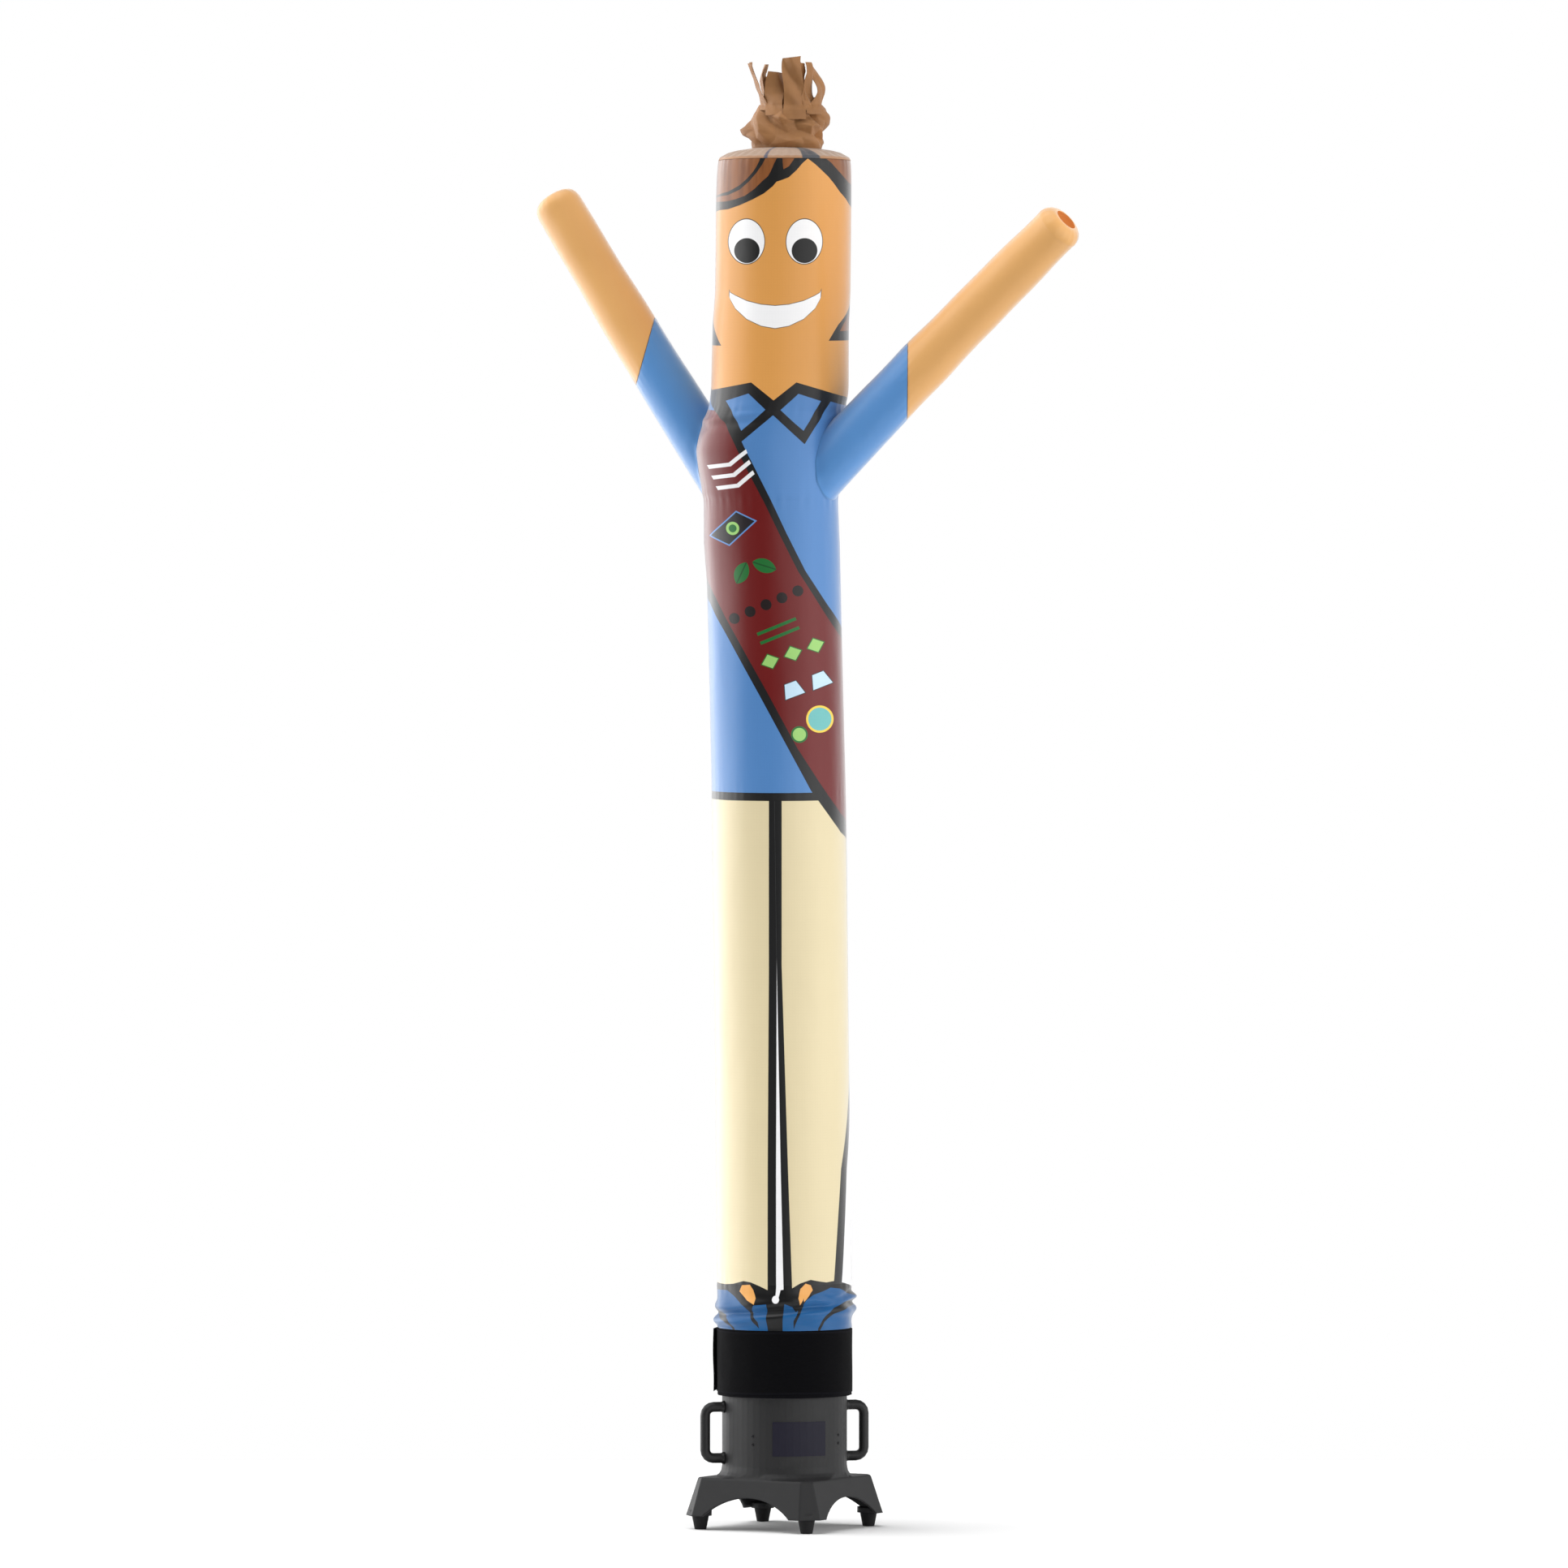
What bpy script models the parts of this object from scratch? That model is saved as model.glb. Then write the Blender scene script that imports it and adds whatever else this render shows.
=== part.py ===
"""Inflatable air dancer: a printed cloth tube with two arms and a tuft of hair, strapped on a moulded blower.

Metres, +Z up. The front of the print faces -Y and the floor is z = 0. The origin lies under the middle of the
whole figure, so the blower stands a little to one side of it.
"""

import math
from collections import namedtuple

import bmesh
import bpy
import numpy as np
from mathutils import Matrix, Vector

# Where the blower stands, and how far its front corner is turned to the right of the print's front
BLOWER_X = -0.047
BLOWER_Y = 0.040
BLOWER_TURN = math.radians(-75.4)

# Cloth: one thickness for every panel, and the gap kept at each seam
CLOTH = 0.002
SEAM_GAP = 0.0003
BODY_SIDES = 40

# The tube's seams, from the floor up
CUFF_BOTTOM = 0.305
CUFF_TOP = 0.459
SHOE_TOP = 0.563
SHIRT_HEM = 1.680
SHOULDER_BOTTOM = 2.350
SHOULDER_TOP = 2.555
HEAD_TOP = 3.122
LONGEST_BAND = 0.30

# The tube's outline: how far its middle leans to the right of the blower, and its half width and half depth
Section = namedtuple("Section", "height lean half_width half_depth")
SECTIONS = (
    Section(0.459, 0.0010, 0.1530, 0.1530),
    Section(0.480, -0.0010, 0.1548, 0.1538),
    Section(0.507, 0.0015, 0.1570, 0.1552),
    Section(0.535, 0.0010, 0.1540, 0.1535),
    Section(0.563, 0.0005, 0.1538, 0.1538),
    Section(0.822, -0.0032, 0.1536, 0.1536),
    Section(1.267, -0.0078, 0.1530, 0.1530),
    Section(1.680, -0.0135, 0.1529, 0.1529),
    Section(1.934, -0.0189, 0.1529, 0.1529),
    Section(2.156, -0.0245, 0.1529, 0.1529),
    Section(2.250, -0.0295, 0.1555, 0.1540),
    Section(2.350, -0.0318, 0.1532, 0.1530),
    Section(2.400, -0.0345, 0.1600, 0.1535),
    Section(2.462, -0.0367, 0.1665, 0.1540),
    Section(2.520, -0.0270, 0.1630, 0.1535),
    Section(2.555, -0.0165, 0.1565, 0.1530),
    Section(2.601, -0.0106, 0.1572, 0.1560),
    Section(2.749, -0.0087, 0.1557, 0.1557),
    Section(2.823, -0.0041, 0.1547, 0.1547),
    Section(3.046, -0.0022, 0.1547, 0.1547),
    Section(3.100, -0.0010, 0.1535, 0.1535),
    Section(3.122, -0.0004, 0.1510, 0.1510),
)

# The top of the head leans back a little: its front edge is raised by this share of its depth
HEAD_TILT = 0.05
TILT_START = 2.95

# The crown, a dished ring of cloth from the head's rim in to the hair
Ring = namedtuple("Ring", "radius height")
CROWN = (
    Ring(0.1510, 3.1230),
    Ring(0.1480, 3.1290),
    Ring(0.1300, 3.1385),
    Ring(0.1100, 3.1445),
    Ring(0.0830, 3.1490),
)

# The hair: a crumpled ring, and strips cut from its top edge, two columns of the ring wide
HairRing = namedtuple("HairRing", "height radius fold")
HAIR_RINGS = (
    HairRing(3.136, 0.0815, 0.000),
    HairRing(3.151, 0.0815, 0.000),
    HairRing(3.172, 0.0895, 0.005),
    HairRing(3.198, 0.0865, 0.009),
    HairRing(3.222, 0.0775, 0.008),
    HairRing(3.242, 0.0735, 0.004),
)
HAIR_COLUMNS = 24
HAIR_CLOTH = 0.0015
# The folds round the ring: how many, how far round they start, and their share of the ring's fold
Fold = namedtuple("Fold", "count start share")
HAIR_FOLDS = (Fold(5, 0.4, 0.6), Fold(3, 2.0, 0.4))
# Each strip, anticlockwise from the right side: its top, how far its tip leans out and sways along the ring,
# how far its middle bows out, and how far it twists
Strip = namedtuple("Strip", "top lean sway bow twist")
STRIPS = (
    Strip(3.315, 0.004, 0.006, 0.010, 20),
    Strip(3.300, 0.008, -0.004, 0.004, -15),
    Strip(3.322, -0.002, 0.003, 0.004, 10),
    Strip(3.308, 0.003, -0.003, 0.006, -10),
    Strip(3.318, 0.006, 0.004, 0.003, 15),
    Strip(3.340, -0.012, 0.006, 0.004, 35),
    Strip(3.348, 0.022, 0.004, -0.004, -40),
    Strip(3.288, 0.008, -0.002, 0.014, -30),
    Strip(3.326, -0.004, -0.001, 0.002, 4),
    Strip(3.361, -0.004, 0.000, 0.001, -3),
    Strip(3.349, -0.002, 0.006, 0.008, 35),
    Strip(3.345, -0.004, 0.002, 0.018, 25),
)
STRIP_ROWS = 5
STRIP_NARROWING = 0.86

# Arms: a straight run out from the wall with a slight bend, cut across by a slanting seam
ARMS_MEET_X = -0.0225
ARM_START = 0.09
ARM_SIDES = 24
ARM_ROOT_RADIUS = 0.0630
ARM_TIP_RADIUS = 0.0545
ARM_RUN_RINGS = 8
ARM_END_DEPTH = 0.032
ARM_END_TURNS = (25, 48, 68, 82, 90)
ARM_MOUTH_RADIUS = 0.027
ARM_HOLE_REACHES = (ARM_START, 0.14, 0.26)
WALL_REACH = 0.1545
# The arms stand on the outside of the tube between these heights
ARM_ROOT_LOW = 2.28
ARM_ROOT_HIGH = 2.64
Arm = namedtuple("Arm", "name heading wall_height slope bend reach seam_x seam_z seam_lean")
ARMS = (
    Arm("right", -26.0, 2.449, 0.9645, -0.052, 0.7347, 0.2785, 2.613, 0.0),
    Arm("left", 154.0, 2.438, 1.4000, 0.149, 0.5660, -0.3182, 2.685, 15.9),
)

# The cuff on the blower's outlet and the strap round it
ROUND_SIDES = 56
CUFF_RADIUS = 0.1525
STRAP_RADIUS = 0.1550
STRAP_BOTTOM = 0.313
STRAP_TOP = 0.4555
STRAP_START = 150.0
STRAP_OVERLAP = 36.0
STRAP_STEPS = 62
STRAP_LIFT = 0.0026
STRAP_CLIMB_START = 300.0
STRAP_CLIMB_ARC = 50.0
STRAP_END_LIFT = 0.0065
STRAP_END_ARC = 14.0

# Blower housing: barrel, flare and a square stand with an arch in each side
WALL = 0.006
BARREL_RADIUS = 0.1427
BORE_RADIUS = 0.1365
OUTLET_RADIUS = 0.1500
OUTLET_BORE = 0.1440
OUTLET_STEP = 0.304
OUTLET_STEP_RISE = 0.006
OUTLET_TOP = 0.395
BORE_STEP_BOTTOM = 0.316
BORE_STEP_TOP = 0.323
FLARE_TOP = 0.1445
FLARE_OUT = 0.018
# The flare's rings: how far round its quarter turn, and how far inside the stand's top edge
FLARE_RINGS = ((30, 0.0060), (55, 0.0045), (80, 0.0030))
STAND_TOP = 0.118
STAND_BOTTOM = 0.031
STAND_ROOF = 0.108
STAND_EDGE = 0.003
TOP_FLAT = 0.1996
TOP_CHAMFER = 0.028
BOTTOM_FLAT = 0.2260
BOTTOM_CHAMFER = 0.050
ARCH_WIDTH = 0.229
ARCH_RISE = 0.045
ARCH_SIDES = 72
ARCH_CUTTER_LENGTH = 0.5
PAD_SIDES = 20
PAD_RADIUS = 0.026
PAD_TOP = 0.044
PAD_OUT = 0.1985

# What is fitted to the housing
SMALL_SIDES = 12
FOOT_SIDES = 24
FOOT_OUT = 0.1985
FOOT_TOP_RADIUS = 0.0195
FOOT_BOTTOM_RADIUS = 0.0135
HANDLE_RADIUS = 0.0115
HANDLE_ROOT_RADIUS = 0.0145
HANDLE_OUT = 0.056
HANDLE_TOP = 0.290
HANDLE_BOTTOM = 0.150
HANDLE_CORNER = 0.019
HANDLE_CORNER_TURNS = (22.5, 45, 67.5, 90)
HANDLE_ROOT_LENGTH = 0.007
PLATE_STEPS = 4
PLATE_BOTTOM = 0.172
PLATE_TOP = 0.2505
PLATE_THICK = 0.001
SCREW_RADIUS = 0.0032
SCREW_TOP_RADIUS = 0.0026
SCREW_HEIGHT = 0.0012
SCREW_LEVELS = (0.217, 0.198)
# The guard's rings, from the hub out: every other band between them is open but for the spokes
GUARD_RADII = (0.012, 0.034, 0.062, 0.066, 0.094, 0.098, 0.126, 0.1356)
GUARD_SPOKES = 8
SPOKE_HALF = 1.6
GUARD_BOTTOM = 0.1105
GUARD_THICK = 0.003
GLAND_LEVEL = 0.200
GLAND_PROFILE = (
    Ring(0.0140, 0.0000),
    Ring(0.0140, 0.0040),
    Ring(0.0115, 0.0045),
    Ring(0.0115, 0.0120),
    Ring(0.0095, 0.0135),
    Ring(0.0080, 0.0200),
)


def smooth(t):
    """0 to 1 with a level start and end."""
    t = min(max(t, 0.0), 1.0)
    return t * t * (3 - 2 * t)


def coat(name, colour, roughness, metallic=0.0):
    """A Principled material of one colour, given as sRGB bytes."""
    made = bpy.data.materials.new(name)
    made.use_nodes = True
    shader = made.node_tree.nodes["Principled BSDF"]
    linear = [(c / 255 / 12.92) if c < 11 else ((c / 255 + 0.055) / 1.055) ** 2.4 for c in colour]
    shader.inputs["Base Color"].default_value = (*linear, 1.0)
    shader.inputs["Roughness"].default_value = roughness
    shader.inputs["Metallic"].default_value = metallic
    return made


def shell(rings, closed=True, wrap=False, caps=False):
    """Quads through rings of points. closed joins each ring's ends, wrap joins the last ring to the first,
    and caps fills both end rings. Rings run anticlockwise about the way they are stacked."""
    bm = bmesh.new()
    rows = [[bm.verts.new(p) for p in ring] for ring in rings]
    bands = list(zip(rows, rows[1:]))
    if wrap:
        bands.append((rows[-1], rows[0]))
    for lower, upper in bands:
        for i in range(len(lower) if closed else len(lower) - 1):
            j = (i + 1) % len(lower)
            bm.faces.new((lower[i], lower[j], upper[j], upper[i]))
    if caps:
        bm.faces.new(reversed(rows[0]))
        bm.faces.new(rows[-1])
    return bm


def add(name, bm, finish, parent, turn=0.0):
    """An object made of bm under parent, turned about parent's upright axis."""
    mesh = bpy.data.meshes.new(name)
    bm.to_mesh(mesh)
    bm.free()
    mesh.materials.append(finish)
    mesh.shade_smooth()
    mesh.set_sharp_from_angle(angle=math.radians(35))
    made = bpy.data.objects.new(name, mesh)
    bpy.context.collection.objects.link(made)
    made.parent = parent
    made.rotation_euler.z = turn
    return made


def thicken(piece, thickness=CLOTH, outwards=False):
    """Gives a sheet its thickness, on the side away from its faces unless outwards is set."""
    modifier = piece.modifiers.new("thickness", "SOLIDIFY")
    modifier.thickness = thickness
    modifier.offset = 1 if outwards else -1
    modifier.use_even_offset = True


def carve(piece, tool, operation="DIFFERENCE"):
    """Cuts tool out of piece, or adds it, and keeps tool out of the part itself."""
    tool.hide_render = True
    tool.display_type = "WIRE"
    modifier = piece.modifiers.new(tool.name, "BOOLEAN")
    modifier.operation = operation
    modifier.object = tool


def stand(name, x, y, turn=0.0):
    """An empty that pieces hang under."""
    made = bpy.data.objects.new(name, None)
    bpy.context.collection.objects.link(made)
    made.location = (x, y, 0)
    made.rotation_euler.z = turn
    return made


def section_at(height):
    """The tube's section at a height, read between the rows of SECTIONS."""
    columns = np.array(SECTIONS).T
    return Section(height, *(float(np.interp(height, columns[0], c)) for c in columns[1:]))


def tilted(x, y, height):
    """A point of the head, raised at the front by the head's tilt."""
    share = smooth((height - TILT_START) / (HEAD_TOP - TILT_START))
    return Vector((x, y, height - HEAD_TILT * share * y))


def body_ring(height, grow=0.0):
    """The tube's outer ring at a height."""
    s = section_at(height)
    angles = [math.tau * i / BODY_SIDES for i in range(BODY_SIDES)]
    return [
        tilted(s.lean + (s.half_width + grow) * math.cos(a), (s.half_depth + grow) * math.sin(a), height)
        for a in angles
    ]


def panel_heights(low, high):
    """Heights for a panel's rings: its seams, the rows of SECTIONS between them, and splits of long bands."""
    marks = [low, *(s.height for s in SECTIONS if low + 0.01 < s.height < high - 0.01), high]
    heights = []
    for a, b in zip(marks, marks[1:]):
        steps = math.ceil((b - a) / LONGEST_BAND)
        heights += [a + (b - a) * k / steps for k in range(steps)]
    heights.append(high)
    heights[0] += SEAM_GAP / 2
    heights[-1] -= SEAM_GAP / 2
    return heights


def body_panel(name, low, high, finish, parent):
    piece = add(name, shell([body_ring(h) for h in panel_heights(low, high)]), finish, parent)
    thicken(piece)
    return piece


def crown_panel(finish, parent):
    lean = section_at(HEAD_TOP).lean
    rings = []
    for ring in CROWN:
        angles = [math.tau * i / BODY_SIDES for i in range(BODY_SIDES)]
        rings.append(
            [tilted(lean + ring.radius * math.cos(a), ring.radius * math.sin(a), ring.height) for a in angles]
        )
    thicken(add("crown_panel", shell(rings), finish, parent))


def hair_point(angle, radius, height):
    lean = section_at(HEAD_TOP).lean
    return tilted(lean + radius * math.cos(angle), radius * math.sin(angle), height)


def hair_radius(ring, angle):
    """The crumpled ring's radius at an angle round it."""
    return ring.radius + ring.fold * sum(f.share * math.cos(f.count * angle + f.start) for f in HAIR_FOLDS)


def hair(finish, parent):
    """The crumpled ring, with each strip carried on from two of its columns."""
    step = math.tau / HAIR_COLUMNS
    rings = [
        [hair_point(i * step, hair_radius(ring, i * step), ring.height) for i in range(HAIR_COLUMNS)]
        for ring in HAIR_RINGS
    ]
    bm = shell(rings)
    bm.verts.ensure_lookup_table()
    first_top = (len(HAIR_RINGS) - 1) * HAIR_COLUMNS
    top = HAIR_RINGS[-1]
    for number, strip in enumerate(STRIPS):
        columns = [2 * number, 2 * number + 1, (2 * number + 2) % HAIR_COLUMNS]
        below = [bm.verts[first_top + c] for c in columns]
        middle = (2 * number + 1) * step
        for row in range(1, STRIP_ROWS + 1):
            t = row / STRIP_ROWS
            out = hair_radius(top, middle) + strip.lean * t + strip.bow * math.sin(math.pi * t)
            half = top.radius * step * (1 - (1 - STRIP_NARROWING) * smooth(2 * t))
            height = top.height + (strip.top - top.height) * t
            twist = math.radians(strip.twist) * smooth(t)
            outward = Vector((math.cos(middle), math.sin(middle), 0))
            along = Vector((-math.sin(middle), math.cos(middle), 0))
            centre = hair_point(middle, out, height) + along * strip.sway * t
            across = along * math.cos(twist) + outward * math.sin(twist)
            above = [bm.verts.new(centre + across * half * k) for k in (-1, 0, 1)]
            for i in range(2):
                bm.faces.new((below[i], below[i + 1], above[i + 1], above[i]))
            below = above
            bm.verts.ensure_lookup_table()
    thicken(add("hair", bm, finish, parent), HAIR_CLOTH)


def arm_point(arm, reach):
    """The arm's centreline at a distance out from where the arms' axes meet."""
    heading = math.radians(arm.heading)
    past = reach - WALL_REACH
    rise = arm.wall_height + arm.slope * past + arm.bend * past * past
    return Vector((ARMS_MEET_X + reach * math.cos(heading), reach * math.sin(heading), rise))


def arm_ring(arm, reach, radius):
    """A ring square to the centreline."""
    heading = math.radians(arm.heading)
    slope = arm.slope + 2 * arm.bend * (reach - WALL_REACH)
    along = Vector((math.cos(heading), math.sin(heading), slope)).normalized()
    side = Vector((-math.sin(heading), math.cos(heading), 0))
    up = along.cross(side)
    angles = [math.tau * i / ARM_SIDES for i in range(ARM_SIDES)]
    return [arm_point(arm, reach) + radius * (side * math.cos(a) + up * math.sin(a)) for a in angles]


def arm_radius(arm, reach):
    """The even taper from the wall to the tip."""
    share = (reach - WALL_REACH) / (arm.reach - WALL_REACH)
    return ARM_ROOT_RADIUS + (ARM_TIP_RADIUS - ARM_ROOT_RADIUS) * share


def arm_surface(arm):
    """The whole arm as one open sheet: a tapering run, then a quarter round in to the mouth at its tip."""
    slope = arm.slope + 2 * arm.bend * (arm.reach - WALL_REACH)
    end_run = ARM_END_DEPTH / math.sqrt(1 + slope * slope)
    straight = np.linspace(ARM_START, arm.reach - end_run, ARM_RUN_RINGS).tolist()
    rings = [arm_ring(arm, r, arm_radius(arm, r)) for r in straight]
    narrow = arm_radius(arm, arm.reach) - ARM_MOUTH_RADIUS
    for turn in ARM_END_TURNS:
        reach = arm.reach - end_run * (1 - math.sin(math.radians(turn)))
        rings.append(arm_ring(arm, reach, ARM_MOUTH_RADIUS + narrow * math.cos(math.radians(turn))))
    return shell(rings)


def cut_at_seam(bm, arm, keep_outer):
    """Keeps the part of the arm on one side of its slanting seam."""
    lean = math.radians(arm.seam_lean)
    outwards = Vector((math.copysign(math.cos(lean), arm.seam_x), 0, math.sin(lean)))
    shift = SEAM_GAP if keep_outer else -SEAM_GAP
    place = Vector((arm.seam_x, 0, arm.seam_z)) + outwards * shift
    bmesh.ops.bisect_plane(
        bm,
        geom=bm.verts[:] + bm.edges[:] + bm.faces[:],
        plane_co=place,
        plane_no=outwards,
        clear_inner=keep_outer,
        clear_outer=not keep_outer,
    )
    return bm


def arm_pieces(arm, sleeve_finish, skin_finish, shoulder, shoulder_space, parent):
    """A sleeve standing on the shoulder, the forearm past its seam, and the hole in the wall behind them."""
    sleeve = add(f"{arm.name}_sleeve", cut_at_seam(arm_surface(arm), arm, False), sleeve_finish, parent)
    thicken(sleeve)
    carve(sleeve, shoulder_space)
    thicken(add(f"{arm.name}_forearm", cut_at_seam(arm_surface(arm), arm, True), skin_finish, parent))
    inside = [arm_ring(arm, r, arm_radius(arm, r) - CLOTH) for r in ARM_HOLE_REACHES]
    carve(shoulder, add(f"{arm.name}_arm_hole", shell(inside, caps=True), sleeve_finish, parent))


def round_ring(radius, height):
    """A ring of the blower, its first point at the front corner."""
    angles = [math.tau * i / ROUND_SIDES for i in range(ROUND_SIDES)]
    return [Vector((radius * math.cos(a), radius * math.sin(a), height)) for a in angles]


def square_ring(flat, chamfer, height, inset=0.0, most=None):
    """A ring of the square stand. flat is how far its cut corners stand from the axis, chamfer how wide they
    are cut, inset how far it lies inside them, and most limits its radius."""
    side = (flat + chamfer / 2) / math.sqrt(2) - inset
    corner = flat - inset
    per_quarter = ROUND_SIDES // 4
    chamfer_edge = math.atan2(chamfer / 2, flat)
    points = []
    for i in range(ROUND_SIDES):
        from_corner = (i + per_quarter // 2) % per_quarter - per_quarter // 2
        quarter = (i - from_corner) / per_quarter * math.tau / 4
        turn = from_corner * math.tau / ROUND_SIDES
        if abs(from_corner) == 1:
            turn = math.copysign(chamfer_edge, from_corner)
        radius = min(corner / math.cos(turn), side / math.cos(math.tau / 8 - abs(turn)))
        if most is not None:
            radius = min(radius, most)
        angle = quarter + turn
        points.append(Vector((radius * math.cos(angle), radius * math.sin(angle), height)))
    return points


def stand_ring(height, inset=0.0, most=None):
    """The stand's own section at a height, between its top and its wider bottom."""
    t = (STAND_TOP - height) / (STAND_TOP - STAND_BOTTOM)
    flat = TOP_FLAT + (BOTTOM_FLAT - TOP_FLAT) * t
    chamfer = TOP_CHAMFER + (BOTTOM_CHAMFER - TOP_CHAMFER) * t
    return square_ring(flat, chamfer, height, inset, most)


def polar(angle, out, height):
    return Vector((out * math.cos(angle), out * math.sin(angle), height))


def housing(finish, parent):
    """One moulding, open from top to bottom: down the outside, under the stand's rim, and up the inside."""
    rings = [
        round_ring(OUTLET_RADIUS, OUTLET_TOP),
        round_ring(OUTLET_RADIUS, OUTLET_STEP + OUTLET_STEP_RISE),
        round_ring(BARREL_RADIUS, OUTLET_STEP),
        round_ring(BARREL_RADIUS, FLARE_TOP),
    ]
    for turn, margin in FLARE_RINGS:
        out = BARREL_RADIUS + FLARE_OUT * (1 - math.cos(math.radians(turn)))
        drop = (FLARE_TOP - STAND_TOP) * math.sin(math.radians(turn))
        ring = square_ring(TOP_FLAT, TOP_CHAMFER, FLARE_TOP - drop, margin, out)
        rings.append(ring)
    rings += [
        stand_ring(STAND_TOP, inset=STAND_EDGE / 2),
        stand_ring(STAND_TOP - STAND_EDGE),
        stand_ring(STAND_BOTTOM),
        stand_ring(STAND_BOTTOM, inset=WALL),
        stand_ring(STAND_ROOF, inset=WALL),
        round_ring(BORE_RADIUS, STAND_ROOF),
        round_ring(BORE_RADIUS, BORE_STEP_BOTTOM),
        round_ring(OUTLET_BORE, BORE_STEP_TOP),
        round_ring(OUTLET_BORE, OUTLET_TOP),
    ]
    piece = add("housing", shell([list(reversed(r)) for r in rings], wrap=True), finish, parent)
    pads = bmesh.new()
    for k in range(4):
        centre = polar(k * math.tau / 4, PAD_OUT, (STAND_BOTTOM + PAD_TOP) / 2)
        bmesh.ops.create_cone(
            pads, cap_ends=True, segments=PAD_SIDES, radius1=PAD_RADIUS, radius2=PAD_RADIUS,
            depth=PAD_TOP - STAND_BOTTOM, matrix=Matrix.Translation(centre),
        )
    carve(piece, add("corner_pads", pads, finish, parent), "UNION")
    arch_radius = ((ARCH_WIDTH / 2) ** 2 + ARCH_RISE**2) / (2 * ARCH_RISE)
    for k in range(2):
        tool = bmesh.new()
        lift = Matrix.Translation((0, 0, STAND_BOTTOM + ARCH_RISE - arch_radius))
        lay = Matrix.Rotation(math.radians(45 + 90 * k), 4, "Z") @ Matrix.Rotation(math.radians(90), 4, "Y")
        bmesh.ops.create_cone(
            tool, cap_ends=True, segments=ARCH_SIDES, radius1=arch_radius, radius2=arch_radius,
            depth=ARCH_CUTTER_LENGTH, matrix=lift @ lay,
        )
        carve(piece, add(f"arch_cutter_{k + 1}", tool, finish, parent))


def feet(finish, parent):
    for k in range(4):
        bm = bmesh.new()
        height = STAND_BOTTOM - SEAM_GAP
        bmesh.ops.create_cone(
            bm, cap_ends=True, segments=FOOT_SIDES, radius1=FOOT_BOTTOM_RADIUS, radius2=FOOT_TOP_RADIUS,
            depth=height, matrix=Matrix.Translation((FOOT_OUT, 0, height / 2)),
        )
        add(f"foot_{k + 1}", bm, finish, parent, k * math.tau / 4)


def handle_path():
    """Points (out, height) of the handle's centreline, from its upper root round to its lower one."""
    start = BARREL_RADIUS + SEAM_GAP
    outer = BARREL_RADIUS + HANDLE_OUT - HANDLE_RADIUS
    top = HANDLE_TOP - HANDLE_RADIUS
    bottom = HANDLE_BOTTOM + HANDLE_RADIUS
    bend_x = outer - HANDLE_CORNER
    points = [(start, top), (start + HANDLE_ROOT_LENGTH, top), (bend_x, top)]
    for turn in HANDLE_CORNER_TURNS:
        a = math.radians(turn)
        points.append((bend_x + HANDLE_CORNER * math.sin(a), top - HANDLE_CORNER * (1 - math.cos(a))))
    return points + [(x, top + bottom - z) for x, z in reversed(points)]


def handles(finish, parent):
    """Two grips, on the left and right corners' sides of the barrel."""
    path = handle_path()
    for name, turn in (("right_handle", math.radians(90)), ("left_handle", math.radians(-90))):
        rings = []
        for i, (x, z) in enumerate(path):
            before = path[max(i - 1, 0)]
            after = path[min(i + 1, len(path) - 1)]
            along = Vector((after[0] - before[0], 0, after[1] - before[1])).normalized()
            side = Vector((0, 1, 0))
            up = along.cross(side)
            radius = HANDLE_ROOT_RADIUS if i in (0, len(path) - 1) else HANDLE_RADIUS
            centre = Vector((x, 0, z))
            angles = [math.tau * k / SMALL_SIDES for k in range(SMALL_SIDES)]
            rings.append([centre + radius * (side * math.cos(a) + up * math.sin(a)) for a in angles])
        add(name, shell(rings, caps=True), finish, parent, turn)


def plate(finish, parent):
    """The bare label plate, bent to the barrel at the front corner."""
    step = math.tau / ROUND_SIDES
    angles = [k * step for k in range(-PLATE_STEPS, PLATE_STEPS + 1)]
    radius = BARREL_RADIUS + SEAM_GAP
    rings = [[polar(a, radius, h) for a in angles] for h in (PLATE_BOTTOM, PLATE_TOP)]
    thicken(add("label_plate", shell(rings, closed=False), finish, parent), PLATE_THICK, outwards=True)


def screws(finish, parent):
    """Pairs of screw heads, one above the other, over the middle of each side of the stand."""
    for side in range(4):
        for row, level in enumerate(SCREW_LEVELS):
            bm = bmesh.new()
            out = BARREL_RADIUS + SEAM_GAP + SCREW_HEIGHT / 2
            lay = Matrix.Translation((out, 0, level)) @ Matrix.Rotation(math.radians(90), 4, "Y")
            bmesh.ops.create_cone(
                bm, cap_ends=True, segments=SMALL_SIDES, radius1=SCREW_RADIUS, radius2=SCREW_TOP_RADIUS,
                depth=SCREW_HEIGHT, matrix=lay,
            )
            add(f"screw_{2 * side + row + 1}", bm, finish, parent, math.radians(45 + 90 * side))


def intake_guard(finish, parent):
    """A flat spoked guard low in the bore: rings and a hub, with the cells between them left out."""
    pitch = 360 / GUARD_SPOKES
    offsets = (-SPOKE_HALF, SPOKE_HALF, pitch / 3, pitch * 2 / 3)
    angles = [math.radians(pitch * k + offset) for k in range(GUARD_SPOKES) for offset in offsets]
    bm = bmesh.new()
    rows = [[bm.verts.new(polar(a, r, GUARD_BOTTOM)) for a in angles] for r in GUARD_RADII]
    for band, (inner, outer) in enumerate(zip(rows, rows[1:])):
        for i in range(len(angles)):
            if band % 2 == 0 or i % len(offsets) == 0:
                j = (i + 1) % len(angles)
                bm.faces.new((inner[i], outer[i], outer[j], inner[j]))
    bm.faces.new(rows[0])
    loose = [v for v in bm.verts if not v.link_faces]
    bmesh.ops.delete(bm, geom=loose, context="VERTS")
    thicken(add("intake_guard", bm, finish, parent), GUARD_THICK, outwards=True)


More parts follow.
